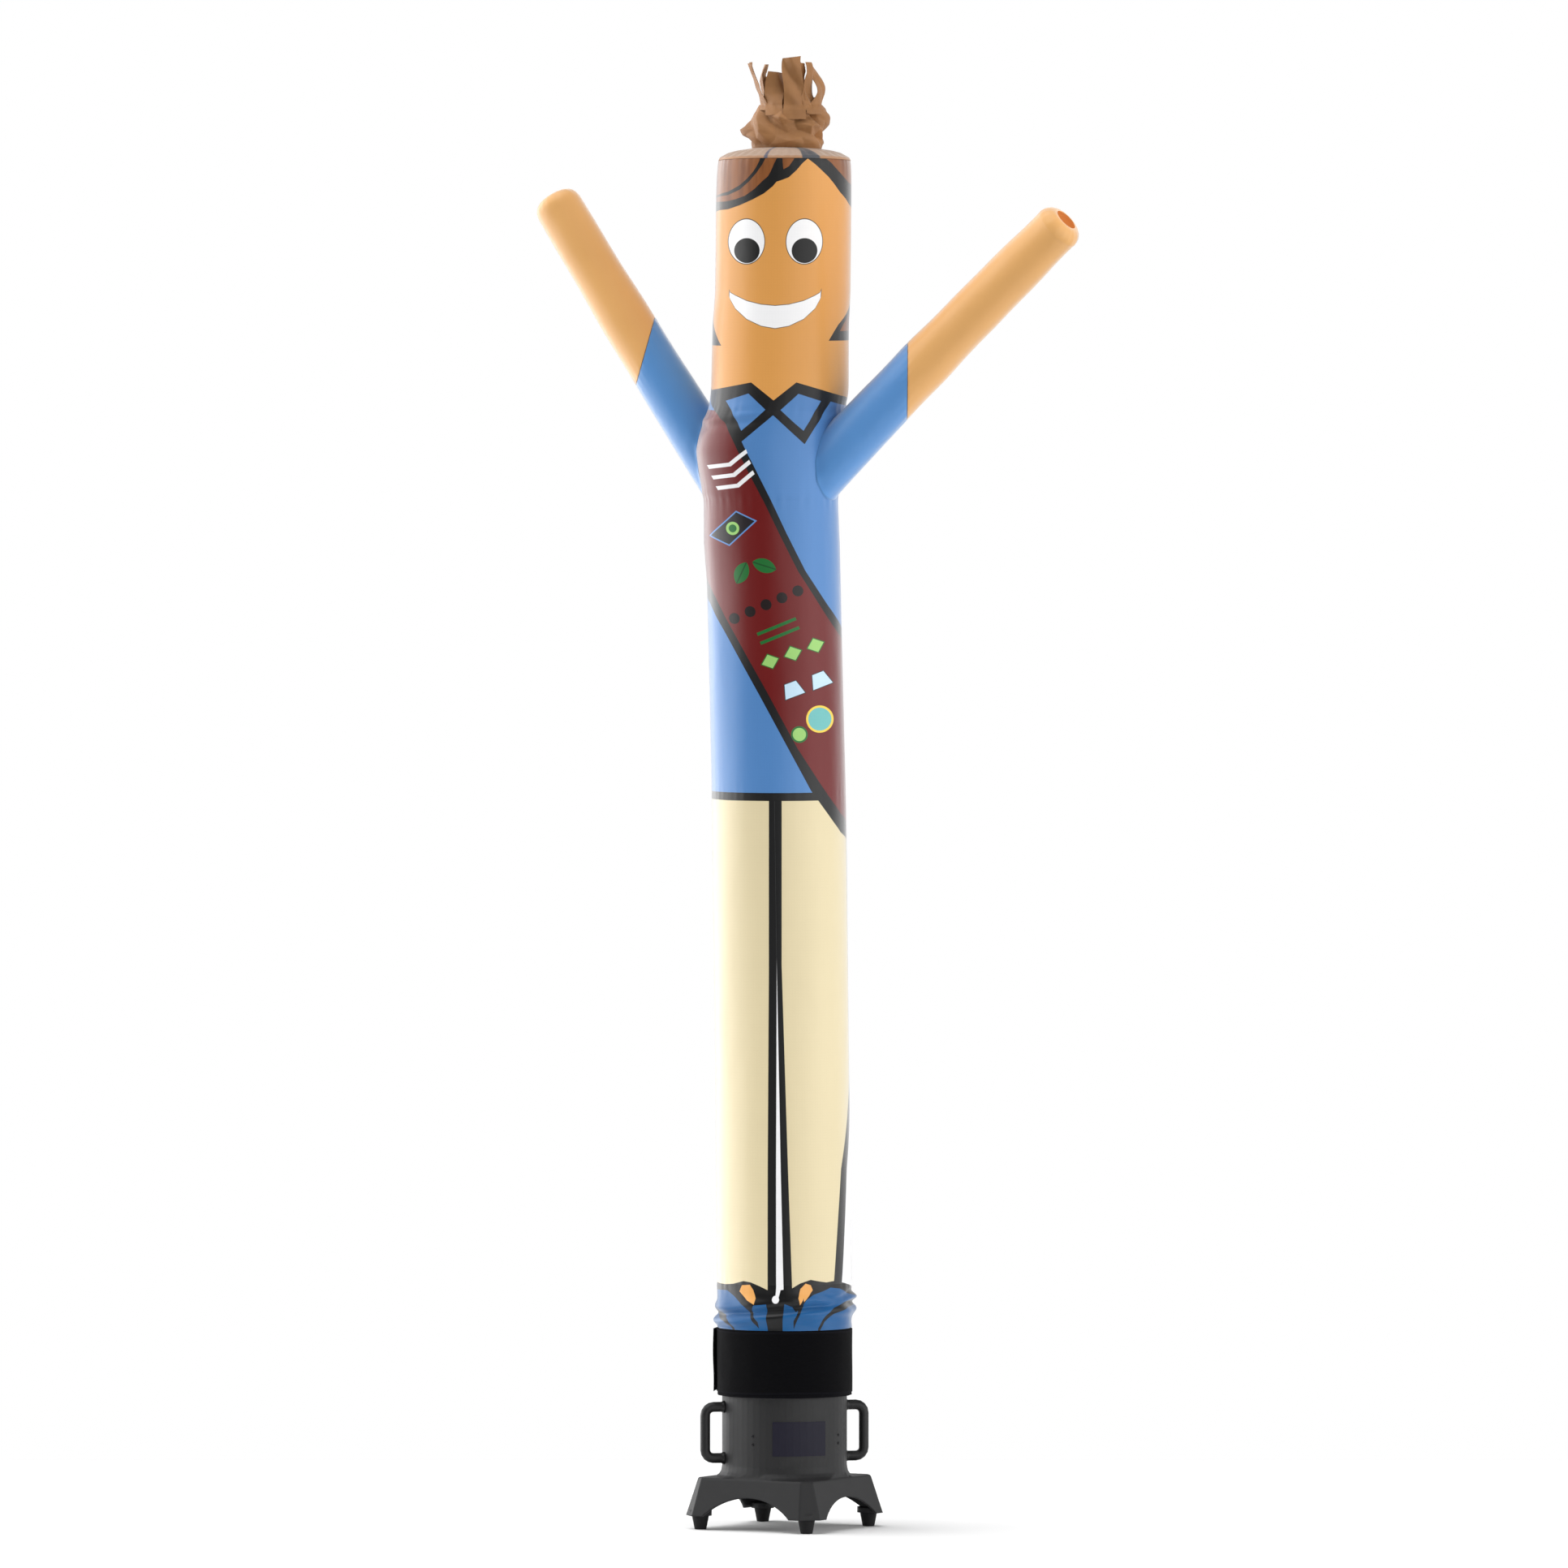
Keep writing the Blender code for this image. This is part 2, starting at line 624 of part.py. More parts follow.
def cord_gland(finish, parent):
    """The gland that the power cord would leave by, at the back corner's side of the barrel."""
    rings = []
    for radius, out in GLAND_PROFILE:
        x = BARREL_RADIUS + SEAM_GAP + out
        angles = [math.tau * k / SMALL_SIDES for k in range(SMALL_SIDES)]
        rings.append([Vector((x, radius * math.cos(a), GLAND_LEVEL + radius * math.sin(a))) for a in angles])
    add("cord_gland", shell(rings, caps=True), finish, parent, math.radians(180))


def cuff(finish, parent):
    """The plain black end of the tube that slips over the outlet."""
    rings = [round_ring(CUFF_RADIUS, h) for h in (CUFF_BOTTOM, CUFF_TOP - SEAM_GAP)]
    thicken(add("cuff", shell(rings), finish, parent))


def strap(finish, parent):
    """The hook-and-loop strap: once round, over its own start, with its end standing off at the left."""
    base = math.radians(STRAP_START)
    turn = 360.0 + STRAP_OVERLAP
    rings = [[], []]
    for i in range(STRAP_STEPS + 1):
        along = turn * i / STRAP_STEPS
        lift = STRAP_LIFT * smooth((along - STRAP_CLIMB_START) / STRAP_CLIMB_ARC)
        lift += STRAP_END_LIFT * smooth((along - (turn - STRAP_END_ARC)) / STRAP_END_ARC)
        angle = base + math.radians(along)
        rings[0].append(polar(angle, STRAP_RADIUS + lift, STRAP_BOTTOM))
        rings[1].append(polar(angle, STRAP_RADIUS + lift, STRAP_TOP))
    thicken(add("strap", shell(rings, closed=False), finish, parent))


def build():
    for old in list(bpy.data.objects):
        bpy.data.objects.remove(old)

    skin = coat("skin cloth", (222, 170, 104), 0.62)
    shirt = coat("blue cloth", (88, 140, 198), 0.62)
    trousers = coat("khaki cloth", (216, 204, 170), 0.62)
    shoes = coat("shoe cloth", (38, 92, 150), 0.6)
    tuft = coat("brown cloth", (158, 112, 68), 0.6)
    black = coat("black webbing", (14, 14, 17), 0.8)
    moulded = coat("moulded plastic", (66, 66, 68), 0.5)
    rubber = coat("foot rubber", (44, 44, 45), 0.8)
    label = coat("label plate", (30, 27, 48), 0.4)
    metal = coat("blackened screw", (26, 26, 28), 0.4, 0.8)

    figure = stand("figure", BLOWER_X, BLOWER_Y)
    blower = stand("blower", BLOWER_X, BLOWER_Y, BLOWER_TURN)

    crown_panel(tuft, figure)
    hair(tuft, figure)
    body_panel("head_panel", SHOULDER_TOP, HEAD_TOP, skin, figure)
    shoulder = body_panel("shoulder_panel", SHOULDER_BOTTOM, SHOULDER_TOP, shirt, figure)
    body_panel("shirt_panel", SHIRT_HEM, SHOULDER_BOTTOM, shirt, figure)
    body_panel("trouser_panel", SHOE_TOP, SHIRT_HEM, trousers, figure)
    body_panel("shoe_panel", CUFF_TOP, SHOE_TOP, shoes, figure)

    space = [body_ring(h, SEAM_GAP) for h in panel_heights(ARM_ROOT_LOW, ARM_ROOT_HIGH)]
    shoulder_space = add("shoulder_space", shell(space, caps=True), shirt, figure)
    for arm in ARMS:
        arm_pieces(arm, shirt, skin, shoulder, shoulder_space, figure)

    cuff(black, blower)
    strap(black, figure)
    housing(moulded, blower)
    feet(rubber, blower)
    handles(moulded, blower)
    plate(label, blower)
    screws(metal, blower)
    intake_guard(moulded, blower)
    cord_gland(moulded, blower)


build()
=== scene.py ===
"""The looks of an inflatable air dancer: printed cloth tube, arms, hair and strap on a moulded blower.

Metres, +Z up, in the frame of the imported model. The front of the print faces -Y. Print shapes are placed by
picture position: across and down in a 1932 pixel square view from the front, one pixel being 1.853 mm.
"""

import collections
import math

import bpy
import numpy as np
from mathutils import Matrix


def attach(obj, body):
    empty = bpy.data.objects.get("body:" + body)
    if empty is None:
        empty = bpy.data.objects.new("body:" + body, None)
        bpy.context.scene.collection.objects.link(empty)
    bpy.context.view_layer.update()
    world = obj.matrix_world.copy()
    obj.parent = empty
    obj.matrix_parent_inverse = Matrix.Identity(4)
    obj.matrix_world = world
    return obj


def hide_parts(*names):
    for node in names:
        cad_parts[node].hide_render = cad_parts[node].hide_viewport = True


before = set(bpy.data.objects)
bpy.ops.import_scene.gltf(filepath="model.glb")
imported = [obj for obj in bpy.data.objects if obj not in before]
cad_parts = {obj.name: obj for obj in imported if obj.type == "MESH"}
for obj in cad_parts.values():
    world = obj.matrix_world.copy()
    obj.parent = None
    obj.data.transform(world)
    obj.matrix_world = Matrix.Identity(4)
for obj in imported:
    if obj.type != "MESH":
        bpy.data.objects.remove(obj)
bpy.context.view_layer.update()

# Where the blower's axis stands
AXIS_X = -0.047
AXIS_Y = 0.040

# The view that the print is placed by
PIXEL = 0.001853
AXIS_COLUMN = 966.7
FLOOR_ROW = 1883.7
VIEW_SIDE = 1932
VIEW_DISTANCE = 45.0
VIEW_HEIGHT = 3.33
SENSOR = 36.0

# Seams of the tube, from the floor up
CUFF_BOTTOM = 0.305
CUFF_TOP = 0.459
SHOE_TOP = 0.563
SHIRT_HEM = 1.680
SHOULDER_BOTTOM = 2.350
SHOULDER_TOP = 2.555
HEAD_TOP = 3.122
CLOTH = 0.0014

# The tube's sections: height, lean to the right, half width, half depth
SECTIONS = np.array((
    (0.459, 0.0010, 0.1530, 0.1530),
    (0.480, -0.0010, 0.1548, 0.1538),
    (0.507, 0.0015, 0.1570, 0.1552),
    (0.535, 0.0010, 0.1540, 0.1535),
    (0.563, 0.0005, 0.1538, 0.1538),
    (0.822, -0.0032, 0.1536, 0.1536),
    (1.267, -0.0078, 0.1530, 0.1530),
    (1.680, -0.0135, 0.1529, 0.1529),
    (1.934, -0.0189, 0.1529, 0.1529),
    (2.156, -0.0245, 0.1529, 0.1529),
    (2.250, -0.0295, 0.1555, 0.1540),
    (2.350, -0.0318, 0.1532, 0.1530),
    (2.400, -0.0345, 0.1600, 0.1535),
    (2.462, -0.0367, 0.1665, 0.1540),
    (2.520, -0.0270, 0.1630, 0.1535),
    (2.555, -0.0165, 0.1565, 0.1530),
    (2.601, -0.0106, 0.1572, 0.1560),
    (2.749, -0.0087, 0.1557, 0.1557),
    (2.823, -0.0041, 0.1547, 0.1547),
    (3.046, -0.0022, 0.1547, 0.1547),
    (3.100, -0.0010, 0.1535, 0.1535),
    (3.122, -0.0004, 0.1510, 0.1510),
))
HEAD_TILT = 0.05
TILT_START = 2.95
TUBE_COLUMNS = 180

# The print's own scale across: true to the view up to this turn from the front, even beyond it
PRINT_RADIUS = 0.153
TRUE_TURN = math.radians(55)
SIDE_TURN = math.pi / 2


def smoothstep(t):
    """0 to 1 with a level start and end, for whole arrays."""
    t = np.clip(t, 0.0, 1.0)
    return t * t * (3 - 2 * t)


def bump(distance, width):
    """A bell curve of height 1 over a distance, one width away falling to 0.61."""
    return np.exp(-0.5 * (distance / width) ** 2)


def softened_sections(step=0.001, width=0.010):
    """The sections read every step and blurred along the height by a bell curve, so no corner shows."""
    heights = np.arange(SECTIONS[0, 0], SECTIONS[-1, 0] + step, step)
    reach = int(4 * width / step)
    weights = bump(np.arange(-reach, reach + 1) * step, width)
    weights /= weights.sum()
    columns = [heights]
    for k in (1, 2, 3):
        raw = np.interp(heights, SECTIONS[:, 0], SECTIONS[:, k])
        columns.append(np.convolve(np.pad(raw, reach, mode="edge"), weights, mode="valid"))
    return np.array(columns)


SOFT = softened_sections()


def section_at(height):
    """Lean, half width and half depth of the tube at each height."""
    return tuple(np.interp(height, SOFT[0], SOFT[k]) for k in (1, 2, 3))


def tube_creases(turn, height):
    """How far the cloth stands out from its smooth tube, from its turn from the front and its height.

    Gathers: a groove at each seam, and puckers beside it that fade within a few centimetres. Then the long
    soft ripples of blown cloth, the creases at the shoulders, and the folds of the slack shoe panel.
    """
    out = np.zeros(np.broadcast(turn, height).shape)
    for seam, count, depth, groove in (
        (SHIRT_HEM, 46, 0.0004, 0.0005),
        (SHOULDER_BOTTOM, 40, 0.0007, 0.0002),
        (SHOULDER_TOP, 44, 0.0006, 0.0003),
        (HEAD_TOP, 52, 0.0006, 0.0010),
        (SHOE_TOP, 40, 0.0006, 0.0004),
    ):
        away = height - seam
        out -= groove * bump(away, 0.0035)
        pucker = np.sin(count * turn + 3 * np.sin(2 * turn + seam)) * np.sin(7 * turn + 11 * seam)
        out += depth * pucker * np.exp(-np.abs(away) / 0.020)
    out += 0.0006 * np.sin(3 * turn + 4.1 * height) * np.sin(5.3 * height + 1.7)
    out += 0.0004 * np.sin(8 * turn - 3.0 * height + 2 * np.sin(2.2 * height))
    out += shoulder_creases(turn, height)
    out += shoe_folds(turn, height)
    return out


def shoulder_creases(turn, height):
    """Level puckers under the head's seam, left and right, and a weak one over the shirt's seam."""
    side = smoothstep((0.1 - turn) / 0.5) * smoothstep((turn + 1.75) / 0.3)
    line = 2.541 + 0.010 * np.cos(2.2 * turn)
    out = side * (0.0034 * bump(height - line, 0.007) - 0.0030 * bump(height - line + 0.017, 0.008))
    out += side * 0.0014 * bump(height - line - 0.020, 0.006)
    right = smoothstep((turn - 0.2) / 0.5) * smoothstep((1.9 - turn) / 0.4)
    dip = 2.520 + 0.02 * turn
    out += right * (0.0016 * bump(height - dip, 0.008) - 0.0016 * bump(height - dip - 0.018, 0.008))
    low = 2.368 - 0.006 * np.cos(turn)
    out += 0.0012 * bump(height - low, 0.007) * (0.6 + 0.4 * np.sin(4 * turn))
    return out


def shoe_folds(turn, height):
    """A crease between two ribs that climbs the front from the left, a fold at the right, and ripples."""
    inside = smoothstep((height - CUFF_TOP) / 0.014) * smoothstep((0.570 - height) / 0.016)
    climb = 0.488 + 0.026 * smoothstep((turn + 1.5) / 2.6)
    out = 0.0046 * bump(height - climb + 0.013, 0.008) - 0.0052 * bump(height - climb - 0.004, 0.0055)
    out += 0.0032 * bump(height - climb - 0.021, 0.009)
    right = smoothstep((turn - 0.25) / 0.6)
    wave = 0.523 + 0.007 * np.sin(5.0 * turn + 0.6)
    out += right * (0.0038 * bump(height - wave, 0.0065) - 0.0040 * bump(height - wave - 0.014, 0.0060))
    out += 0.0016 * np.sin(9 * turn + 60 * height) * bump(height - 0.505, 0.03)
    return 1.4 * inside * out


def axis_point(x, y, height):
    """Points measured from the blower's axis, in the model's frame."""
    return np.stack(np.broadcast_arrays(AXIS_X + x, AXIS_Y + y, height), axis=-1)


def tilted(x, y, height):
    """The same for the tube and the crown: near its top the head is tilted, and its front stands higher."""
    share = smoothstep((height - TILT_START) / (HEAD_TOP - TILT_START))
    return axis_point(x, y, height - HEAD_TILT * share * y)


def moved(points):
    """Whole points measured from the blower's axis, in the model's frame."""
    return points + np.array((AXIS_X, AXIS_Y, 0.0))


def tube_point(turn, height):
    """Points of the tube: an ellipse round the leaning axis at each height, pushed out by the creases.

    The turn is measured from the front, to the right.
    """
    lean, half_width, half_depth = section_at(height)
    grow = tube_creases(turn, height)
    return tilted(lean + (half_width + grow) * np.sin(turn), -(half_depth + grow) * np.cos(turn), height)


def print_across(turn):
    """The print's own measure across, in metres.

    It is the view's sideways distance from the middle up to TRUE_TURN, then an even run on to the side,
    mirrored behind it, so the back carries the same bands as the front.
    """
    turn = np.asarray(turn, dtype=float)
    size = np.abs(turn)
    folded = np.where(size > SIDE_TURN, math.pi - size, size)
    true = np.sin(np.minimum(folded, TRUE_TURN))
    run = true + math.cos(TRUE_TURN) * np.maximum(folded - TRUE_TURN, 0.0)
    side = math.sin(TRUE_TURN) + math.cos(TRUE_TURN) * (SIDE_TURN - TRUE_TURN)
    run = np.where(size > SIDE_TURN, 2 * side - run, run)
    return PRINT_RADIUS * np.sign(turn) * run


SIDE_ACROSS = float(print_across(SIDE_TURN))
BACK_ACROSS = 2 * SIDE_ACROSS


def spot(column, row):
    """Picture position to print position: (across, height) in metres, on the front of the tube."""
    height = (FLOOR_ROW - row) * PIXEL
    lean, half_width, half_depth = section_at(height)
    sine = ((column - AXIS_COLUMN) * PIXEL - lean) / half_width
    turn = math.asin(min(max(float(sine), -1.0), 1.0))
    nearer = float(half_depth) * math.cos(turn)
    height += nearer * (VIEW_HEIGHT - height) / VIEW_DISTANCE
    return float(print_across(turn)), height


def spots(*pairs):
    """Several picture positions."""
    return [spot(column, row) for column, row in pairs]


def stroke(*pairs, step=9.0):
    """A line that is straight in the picture between its corners, read every few pixels."""
    places = [spot(*pairs[0])]
    for (x0, y0), (x1, y1) in zip(pairs, pairs[1:]):
        parts = max(int(math.ceil(math.hypot(x1 - x0, y1 - y0) / step)), 1)
        places += [spot(x0 + (x1 - x0) * k / parts, y0 + (y1 - y0) * k / parts) for k in range(1, parts + 1)]
    kept = [places[0]]
    for place in places[1:]:
        if place[0] > kept[-1][0] + 0.0002:
            kept.append(place)
    return kept


# Meshes from grids of points


def grid_faces(rows, columns, closed):
    """Corner numbers of a grid's quads, row by row; closed joins the last column to the first."""
    across = columns if closed else columns - 1
    i, j = np.mgrid[0:rows - 1, 0:across]
    k = (j + 1) % columns
    return np.stack((i * columns + j, i * columns + k, (i + 1) * columns + k, (i + 1) * columns + j), axis=-1)


def grid_corners(values):
    """Each quad's four values, from a grid one column wider than a closed mesh or as wide as an open one."""
    last = values.shape[1] - 1
    parts = (values[:-1, :last], values[:-1, 1:], values[1:, 1:], values[1:, :last])
    return np.stack(parts, axis=2)


def surface(name, grids, material, closed=True, maps=None, keep=None):
    """One mesh from several grids of points.

    maps gives UV maps: for each name, a grid of (across, up) per grid of points, one column wider where the
    mesh is closed. keep marks the quads that stay, one array per grid.
    """
    points, faces, start = [], [], 0
    chosen = []
    for number, grid in enumerate(grids):
        rows, columns = grid.shape[:2]
        quads = grid_faces(rows, columns, closed)
        stay = np.ones(quads.shape[:2], bool) if keep is None else keep[number]
        chosen.append(stay)
        faces.append(quads[stay] + start)
        points.append(grid.reshape(-1, 3))
        start += rows * columns
    mesh = bpy.data.meshes.new(name)
    mesh.from_pydata(np.concatenate(points), [], np.concatenate(faces).tolist())
    for map_name, values in (maps or {}).items():
        layer = mesh.uv_layers.new(name=map_name)
        corners = [grid_corners(v)[stay].reshape(-1, 2) for v, stay in zip(values, chosen)]
        layer.data.foreach_set("uv", np.concatenate(corners).astype(np.float32).ravel())
    mesh.materials.append(material)
    mesh.polygons.foreach_set("use_smooth", np.full(len(mesh.polygons), True))
    mesh.update()
    # A cut edge stays sharp, so that the wall's thickness doesn't bend the light at a seam
    edges = np.empty(len(mesh.loops), np.int32)
    mesh.loops.foreach_get("edge_index", edges)
    mesh.edges.foreach_set("use_edge_sharp", np.bincount(edges, minlength=len(mesh.edges)) == 1)
    made = bpy.data.objects.new(name, mesh)
    bpy.context.scene.collection.objects.link(made)
    return made


def walled(piece, thickness=CLOTH, lining=None):
    """Gives a sheet its thickness, inwards, and where asked a lining material on its inner side."""
    modifier = piece.modifiers.new("wall", "SOLIDIFY")
    if lining is not None:
        piece.data.materials.append(lining)
        modifier.material_offset = 1
    modifier.thickness = thickness
    modifier.offset = -1.0
    return piece


def fitted(piece, slot, *nodes):
    """The piece rides with the body and stands for the named nodes; the slot is not used."""
    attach(piece, "root")
    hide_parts(*nodes)
    return piece


# Shader expressions


class Wire:
    """A shader value that Python's operators work on. Each operation adds Math nodes to its paint."""

    def __init__(self, paint, socket):
        self.paint = paint
        self.socket = socket

    def math(self, operation, *others, clamp=False):
        values = dict(enumerate((self, *others)))
        return self.paint.node("ShaderNodeMath", {"operation": operation, "use_clamp": clamp}, values)

    def __add__(self, other):
        return self.math("ADD", other)

    __radd__ = __add__

    def __sub__(self, other):
        return self.math("SUBTRACT", other)

    def __rsub__(self, other):
        return (self * -1.0) + other

    def __mul__(self, other):
        return self.math("MULTIPLY", other)

    __rmul__ = __mul__

    def __neg__(self):
        return self * -1.0

    def __abs__(self):
        return self.math("ABSOLUTE")

    def least(self, other):
        return self.math("MINIMUM", other)

    def most(self, other):
        return self.math("MAXIMUM", other)

    def run(self, slope, offset):
        return self.math("MULTIPLY_ADD", slope, offset)

    def mask(self, soft=0.0009):
        """1 where the value is over 0, with a soft edge this wide."""
        return self.math("MULTIPLY_ADD", 1.0 / soft, 0.5, clamp=True)

    def clamped(self):
        """The value kept between 0 and 1."""
        return self.math("MAXIMUM", 0.0, clamp=True)


class Nodes:
    """A node tree, of a material or of the room."""

    def __init__(self, tree):
        self.tree = tree

    def node(self, kind, settings=None, inputs=None, output=0):
        """Any node: its settings first, a curve's points among them, then its sockets' values or links."""
        made = self.tree.nodes.new(kind)
        for key, value in (settings or {}).items():
            if key == "points":
                self.set_points(made.mapping, value)
            else:
                setattr(made, key, value)
        for key, value in (inputs or {}).items():
            self.feed(made.inputs[key], value)
        return Wire(self, made.outputs[output])

    def feed(self, socket, value):
        if isinstance(value, Wire):
            self.tree.links.new(value.socket, socket)
        else:
            socket.default_value = value

    @staticmethod
    def set_points(mapping, points):
        curve = mapping.curves[0]
        curve.points[0].location = points[0]
        curve.points[1].location = points[-1]
        for place in points[1:-1]:
            curve.points.new(*place)
        for point in curve.points:
            point.handle_type = "VECTOR"
        mapping.update()

    def split(self, vector):
        parts = self.node("ShaderNodeSeparateXYZ", None, {0: vector})
        node = parts.socket.node
        return [Wire(self, node.outputs[k]) for k in range(3)]

    def vector(self, operation, a, b=None, output=0):
        inputs = {0: a} if b is None else {0: a, 1: b}
        return self.node("ShaderNodeVectorMath", {"operation": operation}, inputs, output)

    def rise(self, value, low, high):
        """0 at low and 1 at high, with a level start and end, and level beyond both."""
        limits = {"Value": value, "From Min": low, "From Max": high}
        return self.node("ShaderNodeMapRange", {"interpolation_type": "SMOOTHSTEP"}, limits)


class Paint(Nodes):
    """One material and its nodes."""

    def __init__(self, name):
        self.material = bpy.data.materials.new(name)
        self.material.use_nodes = True
        super().__init__(self.material.node_tree)
        self.shader = self.tree.nodes["Principled BSDF"]

    def map(self, name):
        return self.node("ShaderNodeUVMap", {"uv_map": name})

    def own_place(self):
        """The object's own coordinates, in metres."""
        return self.node("ShaderNodeTexCoord", None, None, 3)

    def weave(self, along, up):
        """The height of fine square threads: a sine along times a sine up, one wave a thread."""
        thread = math.tau / THREAD_PITCH
        return (along * thread).math("SINE") * (up * thread).math("SINE")

    def thick_threads(self, along, up):
        """1 on the thicker threads that cross the cloth in squares: the tops of the larger of two cosines."""
        check = math.tau / GRID_PITCH
        return (along * check).math("COSINE").most((up * check).math("COSINE")).run(12.0, -11.0).clamped()

    def coated(self, colour, along, up, slack, blotch, **shine):
        """Coated polyester: the waviness of blown cloth, both kinds of thread, faint wear, a white shine."""
        normal = self.raised(slack, 0.010, 0.35)
        threads = self.weave(along, up) + self.thick_threads(along, up) * 1.5
        normal = self.raised(threads, THREAD_RELIEF, 0.4, normal)
        colour = self.tint(colour, 0.90, blotch.run(1.6, -0.45).clamped() * 0.5)
        roughness = blotch.run(0.10, CLOTH_ROUGHNESS - 0.05)
        return self.finish(colour, roughness, normal, **{**CLOTH_SHINE, **shine})

    def over(self, below, above, mask):
        """The colour above laid over the one below where the mask is 1."""
        colours = {0: mask, 6: as_colour(below), 7: as_colour(above)}
        return self.node("ShaderNodeMix", {"data_type": "RGBA"}, colours, 2)

    def tint(self, colour, amount, factor):
        """The colour multiplied by a grey of this amount where the factor is 1."""
        inputs = {0: factor, 6: as_colour(colour), 7: (amount, amount, amount, 1.0)}
        return self.node("ShaderNodeMix", {"data_type": "RGBA", "blend_type": "MULTIPLY"}, inputs, 2)

    def noise(self, place, scale, detail=2.0, rough=0.5):
        inputs = {"Vector": place, "Scale": scale, "Detail": detail, "Roughness": rough}
        return self.node("ShaderNodeTexNoise", None, inputs)

    def raised(self, height, depth, strength=1.0, below=None):
        """A Bump node: depth in metres for a height of 1, over the normal below it."""
        inputs = {"Height": height, "Distance": depth, "Strength": strength}
        if below is not None:
            inputs["Normal"] = below
        return self.node("ShaderNodeBump", None, inputs)

    def finish(self, colour, rough, normal=None, **fixed):
        """Feeds the shader: colour, roughness and normal may vary, all others are one number."""
        self.feed(self.shader.inputs["Base Color"], as_colour(colour))
        self.feed(self.shader.inputs["Roughness"], rough)
        if normal is not None:
            self.feed(self.shader.inputs["Normal"], normal)
        for name, value in fixed.items():
            self.shader.inputs[name.replace("_", " ")].default_value = value
        return self.material


def linear(*bytes_):
    """A colour given as sRGB bytes, in linear light."""
    return tuple(c / 255 / 12.92 if c < 11 else ((c / 255 + 0.055) / 1.055) ** 2.4 for c in bytes_)


def as_colour(value):
    """A wire as it is, and a colour with its fourth part."""
    return value if isinstance(value, Wire) else (*value[:3], 1.0)


SKIN = linear(219, 155, 80)
# Paler than SKIN: painted light, for the brighter light on the sloping arms
ARM_SKIN_PAINTED_LIGHTER = linear(226, 171, 105)
SHIRT_BLUE = linear(77, 127, 185)
# Paler than SHIRT_BLUE: painted light, for the highlight on the sloping sleeves
SLEEVE_BLUE_PAINTED_LIGHTER = linear(87, 142, 202)
KHAKI = linear(216, 202, 164)
SHOE_BLUE = linear(20, 84, 138)
SASH_RED = linear(102, 8, 8)
HAIR_BROWN = linear(140, 84, 40)
TUFT_BROWN = linear(160, 114, 72)
CROWN_BEIGE = linear(176, 152, 134)
OUTLINE = linear(16, 16, 17)
WHITE = linear(236, 236, 238)
TAN = linear(226, 164, 92)
MOTIF_GREEN = linear(24, 104, 44)
PALE_GREEN = linear(150, 200, 110)
PALE_BLUE = linear(190, 218, 236)
TEAL = linear(104, 180, 178)
MOTIF_YELLOW = linear(236, 200, 70)
RIM_BLUE = linear(92, 140, 200)


# Coated polyester: a broad white shine over the dye, fine threads, and a grid of thicker ones
CLOTH_ROUGHNESS = 0.30
THREAD_PITCH = 0.0011
THREAD_RELIEF = 0.00003
GRID_PITCH = 0.0065
GRID_TINT = 0.94
CLOTH_SHINE = {"Specular_IOR_Level": 0.22, "IOR": 1.5, "Sheen_Weight": 1.0, "Sheen_Roughness": 0.42}


